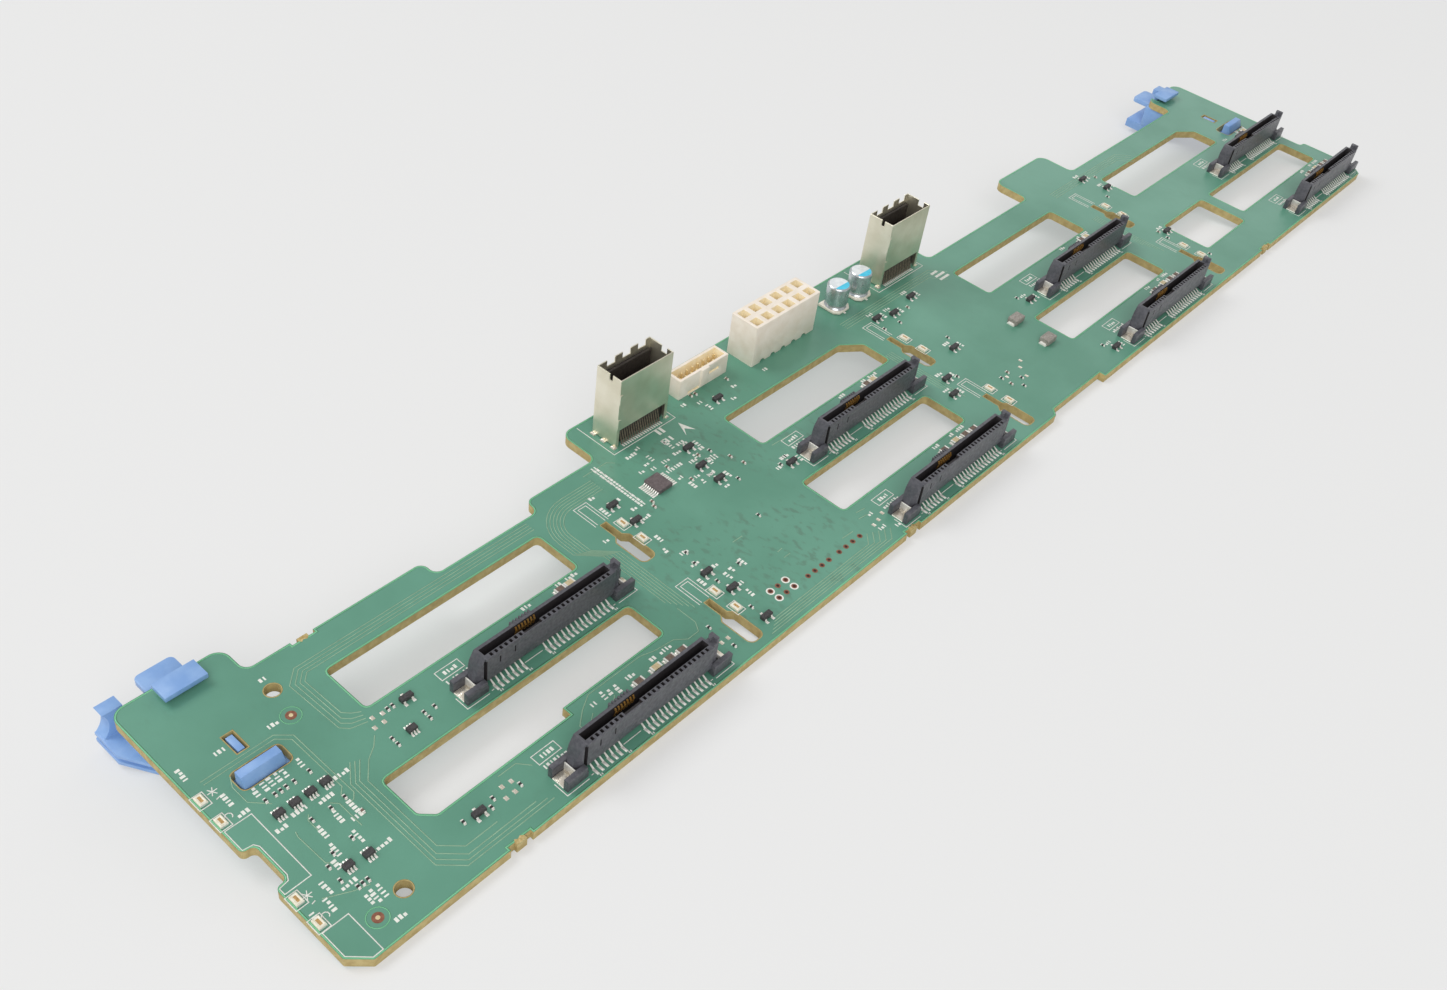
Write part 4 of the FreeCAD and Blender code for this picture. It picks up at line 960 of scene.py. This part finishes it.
def headers():
    """The cream headers, with painted warm light inside their cavities, and their plated pins."""
    power = solid_copy("power_header", [nylon, nylon_painted_light])
    low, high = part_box("power_header")

    def outer_corner(each):
        x, y, z = each.verts[0].co
        return (rises(each, 5 * mm) and not low.x + mm < x < high.x - mm
                and not low.y + mm < y < high.y - mm)
    edit()
    # Painted light: the cavity faces get the warmer nylon
    paint(1, inside("power_header"))
    choose("edges", outer_corner)
    bpy.ops.mesh.bevel(offset=0.4 * mm, segments=3)
    leave()
    broken_edges(power, 0.12, 2)
    mount(power, "power_header_moulding", "header_plastic", "power_header")
    signal = solid_copy("signal_header", [nylon, nylon_painted_light])
    edit()
    # Painted light: the cavity faces get the warmer nylon
    paint(1, inside("signal_header"))
    leave()
    broken_edges(signal, 0.09, 2)
    mount(signal, "signal_header_moulding", "header_plastic", "signal_header")
    for kind in ("power", "signal"):
        dressed(f"{kind}_header_pins", f"{kind}_pins", "header_pin_metal", pin_gold, 0.1)


def cans():
    """Two can capacitors on their square bases, each top painted near white as a reflection, with a cyan
    segment on its front.
    """
    for number in (1, 2):
        node = f"capacitor_can_{number}"
        can = solid_copy(node, [aluminium, cyan_ink, can_top_reflection])
        low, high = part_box(node)
        front = (low.y + high.y) / 2 - 0.9 * mm

        def on_top(face):
            return face.normal.z > 0.9 and face.calc_center_median().z > high.z - 0.1 * mm
        edit()
        bpy.ops.mesh.select_all(action="SELECT")
        bpy.ops.mesh.bisect(plane_co=(0, front, 0), plane_no=(0, 1, 0))
        # Painted reflection: the top faces get the near-white finish, and the cyan ink on their front part
        paint(2, on_top)
        paint(1, lambda face: on_top(face) and face.calc_center_median().y < front)
        leave()
        broken_edges(can, 0.12, 2, 20)
        mount(can, f"can_{number}", "can_aluminium", node)
        dressed(f"capacitor_base_{number}", f"can_base_{number}", "can_base_plastic", pale_plastic, 0.08)
    dressed("capacitor_feet", "can_feet", "tinned_lead", tin, 0.04)


def package(size, front, back, width, reach, material):
    """A chip body with soldered gull-wing legs at X places along its front and its back."""
    length, depth, height = size
    body = block((-length / 2, -depth / 2, 0.06), (length / 2, depth / 2, height), [material])
    broken_edges(body, 0.12)
    half = (depth / 2 + reach * 0.9) * mm
    places = [(Vector((x * mm, -half, 0)), 0) for x in front]
    places += [(Vector((x * mm, half, 0)), math.pi) for x in back]
    legs = repeat(lead(width, 0.14, reach * 0.5, reach * 0.4, 0.35, 0.3), places)
    pads = repeat(pad(reach * 1.5, width * 1.5, 0.12, tin), places)
    return merged([body, legs, pads])


def chip(width, length, height, cap, material):
    """A two-ended chip along Y: a body between two plated caps, each with its fillet of solder."""
    half = length / 2
    pieces = [block((-width / 2, cap - half, 0.03), (width / 2, half - cap, height), [material])]
    for start, end in ((-half, cap - half), (half - cap, half)):
        pieces.append(block((-width / 2 - 0.01, start, 0.03), (width / 2 + 0.01, end, height + 0.005),
                            [tin]))
    pads = repeat(pad(cap * 1.8, width * 1.1, height * 0.45, tin),
                  [(Vector((0, side * half * mm, 0)), 0) for side in (-1, 1)])
    return merged(pieces + [pads])


def light():
    """A surface light: a white resin base with end caps and a raised warm window."""
    piece = block((-0.8, -1.2, 0), (0.8, 1.2, 0.5), [light_base, lens_resin, tin])
    edit()
    paint(2, lambda face: abs(face.normal.y) > 0.9)
    choose("faces", lambda face: face.normal.z > 0.9)
    bpy.ops.mesh.inset(thickness=0.2 * mm)
    bpy.ops.transform.translate(value=(0, 0, 0.2 * mm))
    bpy.ops.mesh.inset(thickness=0.3 * mm)
    bpy.ops.transform.translate(value=(0, 0, -0.08 * mm))
    paint(1)
    leave()
    return piece


def socket_places(parts, turn=0):
    """Places and turns of parts that are given from the first lead of a socket."""
    return [(spot(column, row, x, y), turn) for column, row, x, y in parts]


def small_parts():
    """The soldered parts, modelled once of each kind and repeated at their places."""
    legs = [(index - 3.5) * 0.6 for index in range(8)]
    controller = repeat(package((5.0, 4.4, 1.2), legs, legs, 0.3, 1.1, plum_epoxy),
                        [(spot(0, 0, 66.5, 47.2), math.pi / 2)])
    mount(controller, "controller_package", "chip_plastic", "controller_chip", "controller_chip_legs")
    three = repeat(package((2.9, 1.3, 1.1), (-0.95, 0.95), (0.0,), 0.45, 0.55, epoxy),
                   socket_places(three_leg_parts) + level([(157.0, 60.7)]))
    six = repeat(package((2.1, 1.4, 1.0), (-0.65, 0, 0.65), (-0.65, 0, 0.65), 0.3, 0.5, epoxy),
                 socket_places(six_leg_parts))
    mount(merged([three, six]), "transistor_packages", "chip_plastic", "transistors")
    places = [(column, row, x, y) for column in range(column_count) for row, x, y in capacitor_offsets]
    pale = [place for place in places if place[1:3] in ((0, 26.4), (1, 29.6))]
    dark = [place for place in places if place not in pale]
    model_size = (1.3, 2.6, 0.89, 0.4)
    capacitors = merged([repeat(chip(*model_size, ceramic), socket_places(dark, math.pi / 2)),
                         repeat(chip(*model_size, pale_ceramic), socket_places(pale, math.pi / 2))])
    mount(capacitors, "ceramic_capacitors", "capacitor_ceramic", "chip_capacitors")
    coils = broken_edges(solid_copy("inductors", [ferrite]), 0.3, 2)
    ends = repeat(pad(2.2, 0.9, 0.7, tin), [
        (spot(1, row, x + side * 2.3, y), 0) for row, x, y in inductor_places for side in (-1, 1)])
    mount(merged([coils, ends]), "wound_inductors", "inductor_ceramic", "inductors")
    mount(repeat(light(), level(light_places())), "drive_lights", "light_lens", "status_lights")
    films = repeat(chip(0.5, 1.0, 0.35, 0.22, glaze), socket_places(resistor_parts))
    mount(films, "chip_resistors", "chip_plastic")
    beads = repeat(chip(0.5, 1.0, 0.4, 0.22, ceramic), socket_places(bead_parts))
    mount(beads, "small_capacitors", "capacitor_ceramic")


def camera():
    """The viewpoint of the photograph, solved from it: a place, and the picture's own directions."""
    place = Vector((-277.55, -144.53, 235.6)) * mm
    right = Vector((0.65905, -0.74243, 0.12025))
    up = Vector((0.44895, 0.51661, 0.72908))
    forward = Vector((0.60341, 0.42651, -0.67378))
    data = bpy.data.cameras.new("camera")
    data.sensor_width = 36
    data.lens = 35.99
    data.clip_start = 0.01
    data.clip_end = 50
    view = linked("camera", data)
    view.matrix_world = Matrix.Translation(place) @ Matrix((right, up, -forward)).transposed().to_4x4()
    bpy.context.scene.camera = view


def lift_floor(made):
    """Lets the floor show pale to the camera and in mirrors, with part of its shade kept."""
    tree, plain, _, _ = workings(made)
    out = next(n for n in tree.nodes if n.type == "OUTPUT_MATERIAL")
    ray = add(tree, "LightPath").outputs
    seen = add(tree, "Math", {0: ray["Is Camera Ray"], 1: ray["Is Glossy Ray"]}, operation="MAXIMUM")
    seen = add(tree, "Math", {0: seen.outputs[0], 1: ray["Is Transmission Ray"]}, operation="MAXIMUM")
    shade = add(tree, "BsdfDiffuse", {"Color": linear("#aeaeae")})
    glow = add(tree, "Emission", {"Color": linear("#f7f7f6"), "Strength": 0.43})
    both = add(tree, "AddShader", {0: shade.outputs[0], 1: glow.outputs[0]})
    mixed = add(tree, "MixShader", {0: seen.outputs[0], 1: plain.outputs[0], 2: both.outputs[0]})
    tree.links.new(mixed.outputs[0], out.inputs["Surface"])


def stage():
    """A pale floor through the board's front edge and the latches' feet, and soft light from above."""
    latch_low, latch_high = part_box("latch_left")
    foot_front = latch_high.y - 15.7 * mm
    slope = math.atan2(board_low.z - latch_low.z, foot_front - board_low.y)
    floor_finish = finish("floor_paper", ("#f1f1f1", "#efefef"), 60.0, (0.85, 0.95))
    lift_floor(floor_finish)
    deselect()
    bpy.ops.mesh.primitive_plane_add(size=8)
    floor = bpy.context.object
    floor.name = "floor"
    painted(floor, [floor_finish])
    floor.rotation_euler = (-slope, 0, 0)
    floor.location = (0, foot_front, latch_low.z)
    world = bpy.data.worlds.new("studio")
    bpy.context.scene.world = world
    world.use_nodes = True
    sky = world.node_tree.nodes["Background"]
    sky.inputs["Color"].default_value = linear("#ffffff")
    sky.inputs["Strength"].default_value = 0.45
    # Each softbox: its place in metres, its power in watts and its size in metres
    softboxes = (((-0.75, 1.7, 2.0), 28.0, 1.4), ((-1.5, -1.4, 1.7), 30.0, 1.6),
                 ((2.4, 0.9, 1.4), 6.0, 1.7))
    for place, power, size in softboxes:
        data = bpy.data.lights.new("softbox", "AREA")
        data.size = size
        data.energy = power
        lamp = linked("softbox", data)
        lamp.location = place
        lamp.rotation_euler = (-Vector(place)).to_track_quat("-Z", "Y").to_euler()
    bpy.context.scene.view_settings.view_transform = "Standard"


board()
torn_stubs()
tracks()
printed_lines()
designators()
probe_holes()
bare_pads()
latches()
socket_housings()
socket_contacts()
solder_tabs()
ports()
headers()
cans()
small_parts()
camera()
stage()
